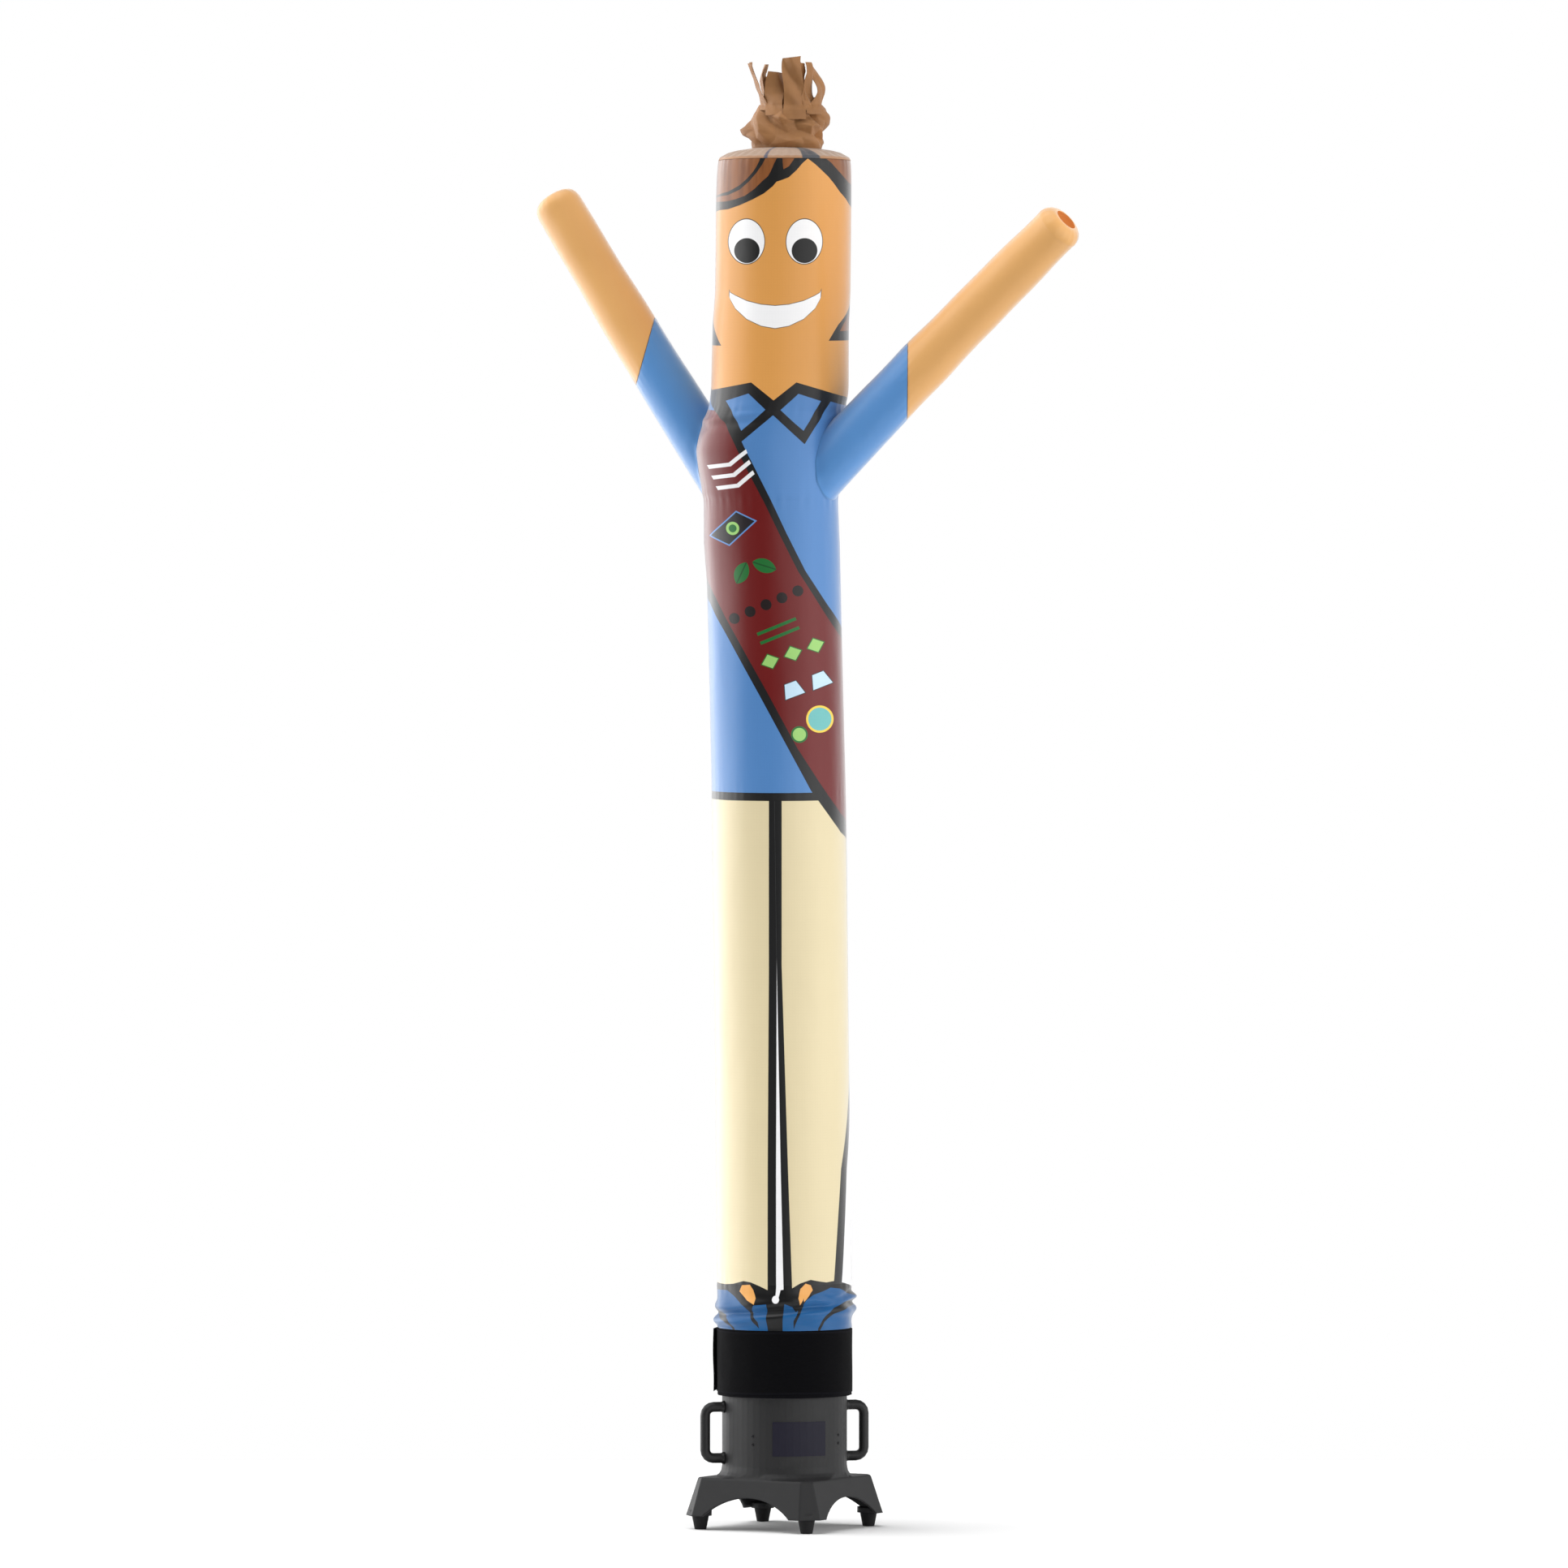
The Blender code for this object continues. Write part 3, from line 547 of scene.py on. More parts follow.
class Print(Paint):
    """A printed cloth: places on the print, the shapes drawn on it, and the cloth's own weave under them.

    folded is the way across with the back mirrored on the front, and front is 1 on the front half alone.
    """

    def __init__(self, name):
        super().__init__(name)
        place = self.map("print")
        self.across, self.up, _ = self.split(place)
        self.place = self.vector("ADD", place, (0.0, 0.0, 1.0))
        size = abs(self.across)
        self.folded = self.across.math("SIGN") * size.least(size.run(-1.0, BACK_ACROSS))
        self.front = 1.0 - (size - SIDE_ACROSS).mask()

    def side(self, a, b, place):
        """Signed distance to the left of the line from a to b."""
        along = (b[0] - a[0], b[1] - a[1])
        length = math.hypot(*along)
        across, up = -along[1] / length, along[0] / length
        return self.vector("DOT_PRODUCT", place, (across, up, -(across * a[0] + up * a[1])), 1)

    def outline(self, corners, place=None):
        """Signed distance inside a convex outline, whose corners run anticlockwise."""
        place = self.place if place is None else place
        inside = None
        for a, b in zip(corners, corners[1:] + corners[:1]):
            distance = self.side(a, b, place)
            inside = distance if inside is None else inside.least(distance)
        return inside

    def line(self, points, over=None):
        """The height of a line drawn through points, at each place across."""
        over = self.across if over is None else over
        left, right = points[0][0], points[-1][0]
        low = min(p[1] for p in points) - 0.001
        high = max(p[1] for p in points) + 0.001
        wide, tall = right - left, high - low
        places = [((p[0] - left) / wide, (p[1] - low) / tall) for p in points]
        share = over.run(1.0 / wide, -left / wide).clamped()
        height = self.node("ShaderNodeFloatCurve", {"points": places}, {"Value": share})
        return height.run(tall, low)

    def oval(self, centre, half_width, half_height, place=None):
        """Distance inside an oval, about true near its edge."""
        place = self.place if place is None else place
        gap = self.vector("SUBTRACT", place, (centre[0], centre[1], 1.0))
        gap = self.vector("MULTIPLY", gap, (1.0 / half_width, 1.0 / half_height, 0.0))
        far = self.vector("LENGTH", gap, None, 1)
        return far.run(-min(half_width, half_height), min(half_width, half_height))

    def turned(self, centre, degrees):
        """Places measured from a centre in axes turned by this many degrees, the third part kept at 1."""
        angle = math.radians(degrees)
        cosine, sine = math.cos(angle), math.sin(angle)
        x = -(cosine * centre[0] + sine * centre[1])
        y = sine * centre[0] - cosine * centre[1]
        inputs = {"Vector": self.place, "Location": (x, y, 0.0), "Rotation": (0.0, 0.0, -angle)}
        return self.node("ShaderNodeMapping", {"vector_type": "POINT"}, inputs)

    def woven(self, colour, **shine):
        """The coated cloth under the print: waves drawn out along the tube, and darker thick threads."""
        along, up, _ = self.split(self.map("cloth"))
        colour = self.tint(colour, GRID_TINT, self.thick_threads(along, up) * 0.5)
        place = self.own_place()
        slack = self.noise(self.vector("MULTIPLY", place, (1.0, 1.0, 0.45)), 7.0, 3.0)
        return self.coated(colour, along, up, slack, self.noise(place, 2.6, 3.0, 0.6), **shine)


# Outlines of the print, as picture positions

COLLAR_TOP = stroke(
    (862, 478), (877.9, 480.4), (925.7, 471.2), (952.9, 493.4), (981.2, 471.2), (1043, 489.6), (1062, 494),
)
COLLAR_FOOT = stroke(
    (862, 486), (876.8, 499.2), (892, 520.2), (904, 544.5), (913.3, 544.5), (952.1, 511.7), (991.1, 547.4),
    (1023.3, 494.7), (1043, 500.6), (1062, 505), step=12,
)
LEFT_LAPEL = spots((894.4, 493.8), (913.3, 530.8), (942.9, 504.9), (922.1, 484.9))
RIGHT_LAPEL = spots((961.4, 505.3), (989.8, 530.8), (1011.1, 494.2), (983.7, 485.3))
SASH_TOP = stroke(
    (874, 470), (913.5, 543.5), (930.5, 577.3), (950.3, 617), (969, 656.7), (992.3, 703.3), (1029.6, 760),
    (1039, 776), step=14,
)
SASH_TOP_INNER = stroke(
    (870, 486), (876.8, 499.2), (892, 520.2), (906, 549.3), (921.2, 579.7), (941.7, 619.3), (959.7, 656.7),
    (983, 703.3), (1019.2, 760), (1039, 791), step=14,
)
SASH_FOOT = stroke(
    (871, 734), (883, 760), (933.4, 852.3), (970.8, 921.5), (999.6, 974.6), (1006.5, 983.8), (1043, 1036),
    step=14,
)
SASH_FOOT_INNER = stroke(
    (871, 713), (893.5, 760), (944.9, 852.3), (982.3, 921.5), (1012.3, 967.7), (1043, 1013.5), step=14,
)
HEM_TOP = 1.6855
HEM_FOOT = 1.6672


def drawn_sash(art, colour, motifs=False):
    """The red band with black edges, from the left shoulder to the right hip, front and back."""
    top = art.line(SASH_TOP, art.folded)
    top_inner = art.line(SASH_TOP_INNER, art.folded)
    foot = art.line(SASH_FOOT, art.folded)
    foot_inner = art.line(SASH_FOOT_INNER, art.folded)
    band = (top - art.up).least(art.up - foot).mask(0.0016)
    red = (top_inner - art.up).least(art.up - foot_inner).mask(0.0016)
    fill = drawn_motifs(art, SASH_RED) if motifs else SASH_RED
    colour = art.over(colour, OUTLINE, band)
    return art.over(colour, fill, red)


def drawn_motifs(art, colour):
    """Plain motifs down the band's front: a lozenge, leaves, dots, bars, diamonds, trapeziums and discs."""

    def polygon(centre, corners, turn=20):
        place = art.turned(spot(*centre), turn)
        return art.outline([(x / 1000, y / 1000) for x, y in corners], place)

    def disc(centre, radius):
        return art.oval(spot(*centre), radius / 1000, radius / 1000)

    def laid(mask, paint):
        return art.over(colour, paint, mask)

    lozenge = polygon((903, 651), [(-58, 0), (-20, -36), (58, 0), (20, 36)], 18)
    colour = laid((lozenge.least(art.front - 0.5)).mask(), RIM_BLUE)
    colour = laid((lozenge - 0.0030).mask(), linear(24, 16, 22))
    colour = laid(disc((903, 651), 15).mask(), PALE_GREEN)
    colour = laid(disc((903, 651), 9).mask(), MOTIF_GREEN)
    for centre, turn in (((914, 706), 62), ((942, 697), -18)):
        place = art.turned(spot(*centre), turn)
        leaf = art.oval((0.0, -0.016), 0.032, 0.032, place).least(art.oval((0.0, 0.016), 0.032, 0.032, place))
        vein = abs(art.split(place)[1]).run(-1.0, 0.0014)
        colour = laid(leaf.mask(), MOTIF_GREEN)
        colour = laid(leaf.least(vein).mask(), linear(16, 70, 30))
    for k in range(5):
        colour = laid(disc((905 + 19.5 * k, 762 - 8.5 * k), 12.5).mask(), linear(24, 12, 13))
    for k in range(2):
        corners = [(-48, -3.6), (48, -3.6), (48, 3.6), (-48, 3.6)]
        colour = laid(polygon((957 + 4 * k, 772 + 11 * k), corners, 22).mask(), MOTIF_GREEN)
    for k in range(3):
        corners = [(-23, 0), (0, -19), (23, 0), (0, 19)]
        diamond = polygon((949 + 28 * k, 815 - 10 * k), corners)
        colour = laid(diamond.mask(), MOTIF_GREEN)
        colour = laid((diamond - 0.0020).mask(), PALE_GREEN)
    for centre in ((977, 850), (1011, 838)):
        trapezium = polygon(centre, [(-26, -17), (26, -17), (15, 19), (-15, 19)])
        colour = laid(trapezium.mask(), linear(40, 40, 46))
        colour = laid((trapezium - 0.0018).mask(), PALE_BLUE)
    for centre, radius, rim, edge, middle in (
        ((1010, 886), 31, 0.0048, MOTIF_YELLOW, TEAL),
        ((985, 905), 19, 0.0040, MOTIF_GREEN, PALE_GREEN),
    ):
        colour = laid(disc(centre, radius).mask(), edge)
        colour = laid((disc(centre, radius) - rim).mask(), middle)
    return colour


def drawn_chevrons(art, colour):
    """Three white chevrons, one under another, over the chest end of the band."""
    for k in range(3):
        place = art.turned(spot(899 + 5 * k, 571 + 13 * k), 24)
        for side in (-1, 1):
            corners = [(0.0, -0.007), (0.046 * side, 0.006), (0.046 * side, 0.015), (0.0, 0.002)]
            arm = art.outline(corners if side > 0 else corners[::-1], place)
            colour = art.over(colour, WHITE, arm.mask() * art.front)
    return colour


def drawn_collar(art, below):
    """Skin over the collar's top line, the black collar, and its two open points."""
    top = art.line(COLLAR_TOP, art.folded)
    foot = art.line(COLLAR_FOOT, art.folded)
    plain = spot(1050, 484)[1]
    away = art.rise(abs(art.across), SIDE_ACROSS - 0.01, SIDE_ACROSS + 0.07)
    top = mixed(top, plain, away)
    foot = mixed(foot, plain - 0.016, away)
    colour = art.over(below, OUTLINE, (art.up - foot).mask())
    for corners in (LEFT_LAPEL, RIGHT_LAPEL):
        inside = art.outline(corners).mask() * art.front
        colour = art.over(colour, SHIRT_BLUE, inside)
    return art.over(colour, SKIN, (art.up - top).mask())


def mixed(a, b, share):
    """a where share is 0 and b where it is 1."""
    return a + (b - a) * share


def shirt_print():
    """Blue over a black hem line, under the sash."""
    art = Print("printed blue cloth")
    colour = art.over(OUTLINE, SHIRT_BLUE, (art.up - HEM_TOP).mask())
    return art.woven(drawn_sash(art, colour, motifs=True))


def shoulder_print():
    """Blue under the sash's upper end, its chevrons and the collar."""
    art = Print("printed shoulder cloth")
    colour = drawn_chevrons(art, drawn_sash(art, SHIRT_BLUE))
    return art.woven(drawn_collar(art, colour))


def head_print():
    """The face between the collar and the hair."""
    art = Print("printed face cloth")
    colour = drawn_face(art, drawn_collar(art, SHIRT_BLUE))
    return art.woven(drawn_hair(art, colour))


FRINGE = stroke(
    (866, 262), (885.7, 260), (897.3, 258.8), (911.3, 254.4), (927.7, 247.8), (941.7, 240.8), (952.2, 232.7),
    (956.8, 227.5), (962.7, 225.7), (972, 222.2), (981.3, 214), (988.3, 205.8), (995.3, 199.5),
    (1004.7, 206.5), (1021, 221), (1028, 229), (1035, 238.5), (1042, 246.7), (1049, 258.3), (1066, 275),
    step=12,
)
FRINGE_BACK = stroke(
    (866, 249.5), (895, 249.5), (906.7, 247.1), (918.3, 243.2), (930, 235.5), (939.3, 226.8), (946.3, 221),
    (949.8, 215.2), (953.3, 207), (956.8, 200), (960.3, 196), (963.9, 197), (965.0, 213), (972, 209.3),
    (977.8, 201.2), (981.3, 194), (984, 182), (1010, 182), (1012.8, 195.3), (1023.3, 202.8), (1035, 215.2),
    (1044.3, 225.7), (1049.5, 229.9), (1066, 240), step=12,
)
LOCK = stroke(
    (866, 244), (885.7, 243.6), (897.3, 242), (911.3, 236.2), (923, 226.8), (932.3, 216.8), (939.3, 207),
    (942.8, 200), (946.5, 182), step=12,
)
LOCK_TOP = stroke(
    (866, 242), (885.7, 240.8), (897.3, 238), (911.3, 231), (920.7, 223.3), (927.7, 215.9), (932.3, 209.3),
    (935.8, 202.3), (940.5, 182), step=12,
)


def drawn_hair(art, colour):
    """Brown hair over a black fringe line, a dark lock at the left, and hair down the back to the nape."""
    fringe = art.line(FRINGE, art.across)
    over_fringe = art.line(FRINGE_BACK, art.across)
    nape = spot(960, 421)[1]
    right_edge = side_lock(art, 1, ((1021, 420), (1033, 400), (1047, 374)), nape)
    left_edge = side_lock(art, -1, ((889, 426), (884, 416), (880, 404)), nape)
    black = (art.up - fringe).mask()
    black = black.most(right_edge.mask()).most(left_edge.mask())
    brown = (art.up - over_fringe).mask()
    inner = right_edge.most(left_edge).least(art.up - (nape + 0.010))
    brown = brown.most((inner - 0.013).mask())
    colour = art.over(colour, OUTLINE, black)
    streak = art.noise(art.vector("MULTIPLY", art.place, (60.0, 7.0, 1.0)), 1.0, 2.0)
    strands = art.over(HAIR_BROWN, linear(104, 56, 24), streak.run(3.0, -1.3).clamped())
    colour = art.over(colour, strands, brown)
    low, high = art.line(LOCK, art.across), art.line(LOCK_TOP, art.across)
    lock = (art.up - low).least(high - art.up).mask() * (art.across * -1.0 - 0.020).mask() * art.front
    return art.over(colour, OUTLINE, lock)


def side_lock(art, sign, corners, nape):
    """Signed distance into the hair at one side: over the nape, and behind a line down from the fringe."""
    places = [(abs(spot(*c)[0]), spot(*c)[1]) for c in corners]
    low, high = places[0][1], places[-1][1]
    edge = [(low - 0.01, places[0][0]), *((h, a) for a, h in places)]
    edge += [(high + 0.05, SIDE_ACROSS + 0.020), (HEAD_TOP - 0.20, SIDE_ACROSS + 0.018)]
    edge += [(HEAD_TOP, SIDE_ACROSS - 0.01)]
    border = art.line(edge, art.up)
    foot = mixed(low, nape, art.rise(abs(art.across), SIDE_ACROSS - 0.02, SIDE_ACROSS + 0.08))
    return (art.across * float(sign) - border).least(art.up - foot)


SMILE_TOP = spots(
    (896, 352), (900, 361), (906, 364.5), (920, 371), (938, 375.5), (955, 377), (972, 375.5), (990, 371),
    (1004, 364.5), (1010, 361), (1014, 352),
)
SMILE_FOOT = spots(
    (896, 358), (900, 369), (906, 380), (920, 393), (938, 401.5), (955, 404.5), (972, 401.5), (990, 393),
    (1004, 380), (1010, 369), (1014, 358),
)


def drawn_face(art, colour):
    """Two oval eyes with round pupils and a white smile, with fine dark lines round them."""
    for middle, pupil_middle in ((920.0, 920.5), (991.0, 991.2)):
        eye = art.oval(spot(middle, 298), 0.0405, 0.0500)
        pupil = art.oval(spot(pupil_middle, 309), 0.0290, 0.0285)
        colour = art.over(colour, linear(60, 50, 44), (eye + 0.0016).mask() * art.front)
        colour = art.over(colour, linear(246, 246, 247), eye.mask() * art.front)
        colour = art.over(colour, linear(8, 8, 9), pupil.mask() * art.front)
    top, foot = art.line(SMILE_TOP, art.across), art.line(SMILE_FOOT, art.across)
    inside = (top - art.up).least(art.up - foot)
    left, right = spot(899, 364)[0], spot(1011, 364)[0]
    inside = inside.least(art.across - left).least(right - art.across)
    colour = art.over(colour, linear(96, 84, 76), (inside + 0.0016).mask() * art.front)
    return art.over(colour, linear(246, 246, 247), inside.mask() * art.front)


CUFFS = stroke(
    (868, 1580), (885.4, 1581), (894.3, 1583.2), (903.3, 1582.7), (916, 1579.4), (925, 1581), (936.4, 1586.1),
    (945.4, 1590.6), (960, 1591), (976.2, 1588.3), (986.2, 1582.3), (998.9, 1577.9), (1009.1, 1579.8),
    (1018, 1581), (1028.3, 1579.1), (1037.8, 1581), (1050.6, 1586.8), (1068, 1590), step=30,
)
SHOE_LINE = stroke(
    (868, 1588), (885.4, 1589.6), (895.6, 1590.6), (903.3, 1597), (911, 1604.6), (918.6, 1611.7),
    (925, 1617.4), (929.5, 1609.5), (944.5, 1608.2), (946.5, 1650), (964.0, 1650), (966.0, 1607.5),
    (976.5, 1612), (980.0, 1618), (986.2, 1613.6), (992.6, 1603.4), (1001.5, 1597), (1014.2, 1591.9),
    (1023.2, 1587.4), (1034.6, 1588.7), (1043.6, 1593.8), (1051, 1598), (1068, 1600), step=60,
)


LEFT_ANKLE = spots(
    (911.6, 1592), (921.1, 1603), (930, 1608.5), (931.3, 1600.8), (928.1, 1590.6), (924, 1584),
    (914.5, 1584.5),
)
RIGHT_ANKLE = spots(
    (985.5, 1610), (996.4, 1598.3), (1001.5, 1590.6), (999, 1584.5), (992.6, 1582.6), (986.2, 1589.3),
    (983.4, 1601),
)


def lower_print(name):
    """Khaki legs parted by black lines round a white gap, bare ankles, and blue shoes with black outlines."""
    art = Print(name)
    legs = drawn_legs(art)
    cuffs = art.line(CUFFS, art.folded)
    shoes = art.line(SHOE_LINE, art.folded)
    colour = art.over(legs, OUTLINE, (cuffs - art.up).mask())
    neck = art.outline(spots((956.5, 1588), (955.2, 1600), (959.2, 1601), (961.5, 1592), (962.0, 1588)))
    drop = art.oval(spot(955.6, 1602.5), 0.0080, 0.0090).most(neck)
    colour = art.over(colour, WHITE, drop.mask() * art.front)
    for ankle in (LEFT_ANKLE, RIGHT_ANKLE):
        colour = art.over(colour, TAN, art.outline(ankle).mask() * art.front)
    colour = art.over(colour, SHOE_BLUE, (shoes - art.up).mask())
    return art, drawn_toes(art, colour)


def drawn_toes(art, colour):
    """The black curves over each shoe: one down from the ankle, one round the side."""
    for points, width in (
        (((918, 1606), (924, 1617), (929, 1627), (935, 1634)), 0.0046),
        (((978, 1634), (981, 1626), (985.5, 1614), (990, 1606)), 0.0048),
        (((877, 1614), (885.4, 1619.3), (894.3, 1625), (900.7, 1631.4), (905.5, 1642)), 0.0052),
        (((1008, 1642), (1015.5, 1626.3), (1025.7, 1616.1), (1042.3, 1607.8), (1052, 1604)), 0.0056),
    ):
        places = spots(*points)
        curve = art.line(places, art.folded)
        within = (art.folded - places[0][0]).least(places[-1][0] - art.folded)
        steep = 1.0 + abs(places[-1][1] - places[0][1]) / (places[-1][0] - places[0][0]) * 0.4
        mark = (width * steep - abs(art.up - curve)).least(within)
        colour = art.over(colour, OUTLINE, mark.mask())
    return colour


def upright(*pairs):
    """A line for reading across at each height: picture positions from the top down, as (height, across)."""
    places = [spot(*pair) for pair in pairs]
    return [(height, across) for across, height in reversed(places)]


LEG_LEFT = upright((947.4, 975), (947.4, 1190), (945.7, 1590), (945.7, 1606))
LEG_RIGHT = upright((963.2, 975), (963.2, 1190), (976.2, 1590), (976.7, 1606))
GAP_LEFT = upright((957.0, 1180), (957.0, 1190), (956.2, 1591), (956.2, 1592))
GAP_RIGHT = upright((956.9, 1180), (957.2, 1190), (965.6, 1591), (965.6, 1592))
GAP_FOOT = spot(960, 1591.5)[1]
LEG_EDGE = upright(
    (1055, 1100), (1052.2, 1250), (1047, 1330), (1040.2, 1440), (1033.6, 1560), (1032, 1584), (1031, 1606),
)


def drawn_legs(art):
    """A black middle line that parts into two round a white gap, and the right leg's outer edge."""
    left, right = art.line(LEG_LEFT, art.up), art.line(LEG_RIGHT, art.up)
    gap_left, gap_right = art.line(GAP_LEFT, art.up), art.line(GAP_RIGHT, art.up)
    black = (art.folded - left).least(right - art.folded)
    gap = (art.folded - gap_left).least(gap_right - art.folded).least(art.up - GAP_FOOT)
    colour = art.over(KHAKI, OUTLINE, black.mask())
    colour = art.over(colour, WHITE, (gap - 0.0002).mask())
    beyond = art.folded - art.line(LEG_EDGE, art.up)
    colour = art.over(colour, OUTLINE, (beyond + 0.0092).mask())
    return art.over(colour, WHITE, (beyond - 0.0092).mask())


def trouser_print():
    """The legs up to the black hem line, under the sash's lower end."""
    art, colour = lower_print("printed khaki cloth")
    colour = art.over(colour, OUTLINE, (art.up - HEM_FOOT).mask())
    return art.woven(drawn_sash(art, colour))


def shoe_print():
    """The legs' ends and the shoes, on cloth that hangs slack and shines less."""
    art, colour = lower_print("printed shoe cloth")
    return art.woven(colour, Sheen_Weight=0.45)


# The tube's panels


FULL_TURN = np.linspace(-math.pi, math.pi, TUBE_COLUMNS + 1)


def tube_panel(name, node, slot, low, high, spacing, material, keep=None):
    """A panel of the tube: tube_point over every turn and an even run of heights from low to high.

    Its two maps are the print, and the cloth in true lengths. keep marks the quads that stay.
    """
    rows = max(int(round((high - low) / spacing)), 4) + 1
    height, turn = np.meshgrid(np.linspace(low, high, rows), FULL_TURN, indexing="ij")
    placed = np.stack((print_across(turn), height), axis=-1)
    true = np.stack((turn * PRINT_RADIUS, height), axis=-1)
    points = tube_point(turn[:, :-1], height[:, :-1])
    kept = None if keep is None else [keep(points)]
    piece = walled(surface(name, [points], material, maps={"print": [placed], "cloth": [true]}, keep=kept))
    return fitted(piece, slot, node)


# The arms

ARMS_MEET_X = -0.0225
WALL_REACH = 0.1545
ARM_ROOT_RADIUS = 0.0630
ARM_TIP_RADIUS = 0.0545
ARM_END_DEPTH = 0.032
ARM_MOUTH_RADIUS = 0.027
ARM_COLUMNS = 96
# Each arm's heading in degrees, height at the wall, slope, bend and reach, then its seam's place and lean
Arm = collections.namedtuple("Arm", "heading height slope bend reach seam_across seam_height seam_lean")
ARMS = {
    "right": Arm(-26.0, 2.449, 0.9645, -0.052, 0.7347, 0.2785, 2.613, 0.0),
    "left": Arm(154.0, 2.438, 1.4000, 0.149, 0.5660, -0.3182, 2.685, 15.9),
}
ARM_TURN = np.linspace(0, math.tau, ARM_COLUMNS + 1)


def arm_point(arm, reach, angle, radius):
    """Points round the arm: a circle square to its centreline, at a reach out from the tube's middle."""
    heading = math.radians(arm.heading)
    past = reach - WALL_REACH
    rise = arm.height + arm.slope * past + arm.bend * past**2
    tangent = arm.slope + 2 * arm.bend * past
    length = np.sqrt(1 + tangent**2)
    flat = np.array((math.cos(heading), math.sin(heading)))
    side = np.array((-math.sin(heading), math.cos(heading), 0.0))
    up = np.stack((-tangent / length * flat[0], -tangent / length * flat[1], 1 / length), axis=-1)
    centre = np.stack((ARMS_MEET_X + reach * flat[0], reach * flat[1], rise), axis=-1)
    ring = side * np.cos(angle)[..., None] + up * np.sin(angle)[..., None]
    return centre + ring * np.asarray(radius)[..., None]


def arm_radius(arm, reach):
    """The arm's taper from wall to tip, with the slight swells of blown cloth."""
    share = (reach - WALL_REACH) / (arm.reach - WALL_REACH)
    swell = 0.0006 * np.sin(31 * reach + arm.height) + 0.0005 * np.sin(53 * reach)
    return ARM_ROOT_RADIUS + (ARM_TIP_RADIUS - ARM_ROOT_RADIUS) * share + swell * smoothstep(share * 4)


def solved(condition, low, high, steps=40):
    """The reach at which a condition turns from true to false, found by halving, for whole arrays."""
    low, high = low.copy(), high.copy()
    for _ in range(steps):
        middle = (low + high) / 2
        held = condition(middle)
        low = np.where(held, middle, low)
        high = np.where(held, high, middle)
    return (low + high) / 2


def wall_and_seam(arm, angle):
    """Where the arm leaves the tube's wall and where its slanting seam crosses it, at each angle round it."""
    lean = math.radians(arm.seam_lean)
    sign = math.copysign(1.0, arm.seam_across)

    def inside_tube(reach):
        p = arm_point(arm, reach, angle, arm_radius(arm, reach))
        middle, half_width, half_depth = section_at(p[..., 2])
        return ((p[..., 0] - middle) / half_width) ** 2 + (p[..., 1] / half_depth) ** 2 < 1

    def inside_seam(reach):
        p = arm_point(arm, reach, angle, arm_radius(arm, reach))
        across = (p[..., 0] - arm.seam_across) * sign
        return across * math.cos(lean) + (p[..., 2] - arm.seam_height) * math.sin(lean) < 0

    wall = solved(inside_tube, np.full(angle.shape, 0.09), np.full(angle.shape, 0.30))
    seam = solved(inside_seam, np.full(angle.shape, 0.12), np.full(angle.shape, arm.reach))
    return wall, seam


def arm_creases(angle, away, depth, count):
    """Puckers round an arm that fade with the distance from a seam."""
    return depth * np.sin(count * angle + 2 * np.sin(angle * 2)) * np.exp(-away / 0.022)


def arm_piece(side, word, slot, around, points, run, material, lining=None):
    """One sheet of an arm, whose rows run along it. run is how far each point is from the sheet's start."""
    true = np.stack((around * ARM_ROOT_RADIUS, run), axis=-1)
    made = surface(f"{side}_{word}_cloth", [moved(points[:, :-1])], material, maps={"cloth": [true]})
    piece = walled(made, lining=lining)
    return fitted(piece, slot, f"{side}_{word}")


def arm_sleeve(side, material):
    """The sleeve: arm_point on rows from the wall to the seam, a little flared where it is sewn on."""
    arm, angle = ARMS[side], ARM_TURN
    wall, seam = wall_and_seam(arm, angle)
    share = np.linspace(0, 1, 56)[:, None] ** 1.15
    reach = wall - 0.0012 + (seam - wall + 0.0012) * share
    length = np.sqrt(1 + arm.slope ** 2)
    from_wall, from_seam = (reach - wall) * length, (seam - reach) * length
    flare = 0.0020 * np.exp(-np.maximum(from_wall, 0) / 0.006) - 0.0006 * bump(from_seam, 0.0025)
    radius = arm_radius(arm, reach) + flare
    radius += arm_creases(angle, from_wall, 0.0007, 9) + arm_creases(angle, from_seam, 0.0004, 21)
    around = np.broadcast_to(angle, reach.shape)
    points = arm_point(arm, reach, around, radius)
    return arm_piece(side, "sleeve", "blue_cloth", around, points, from_wall, material)


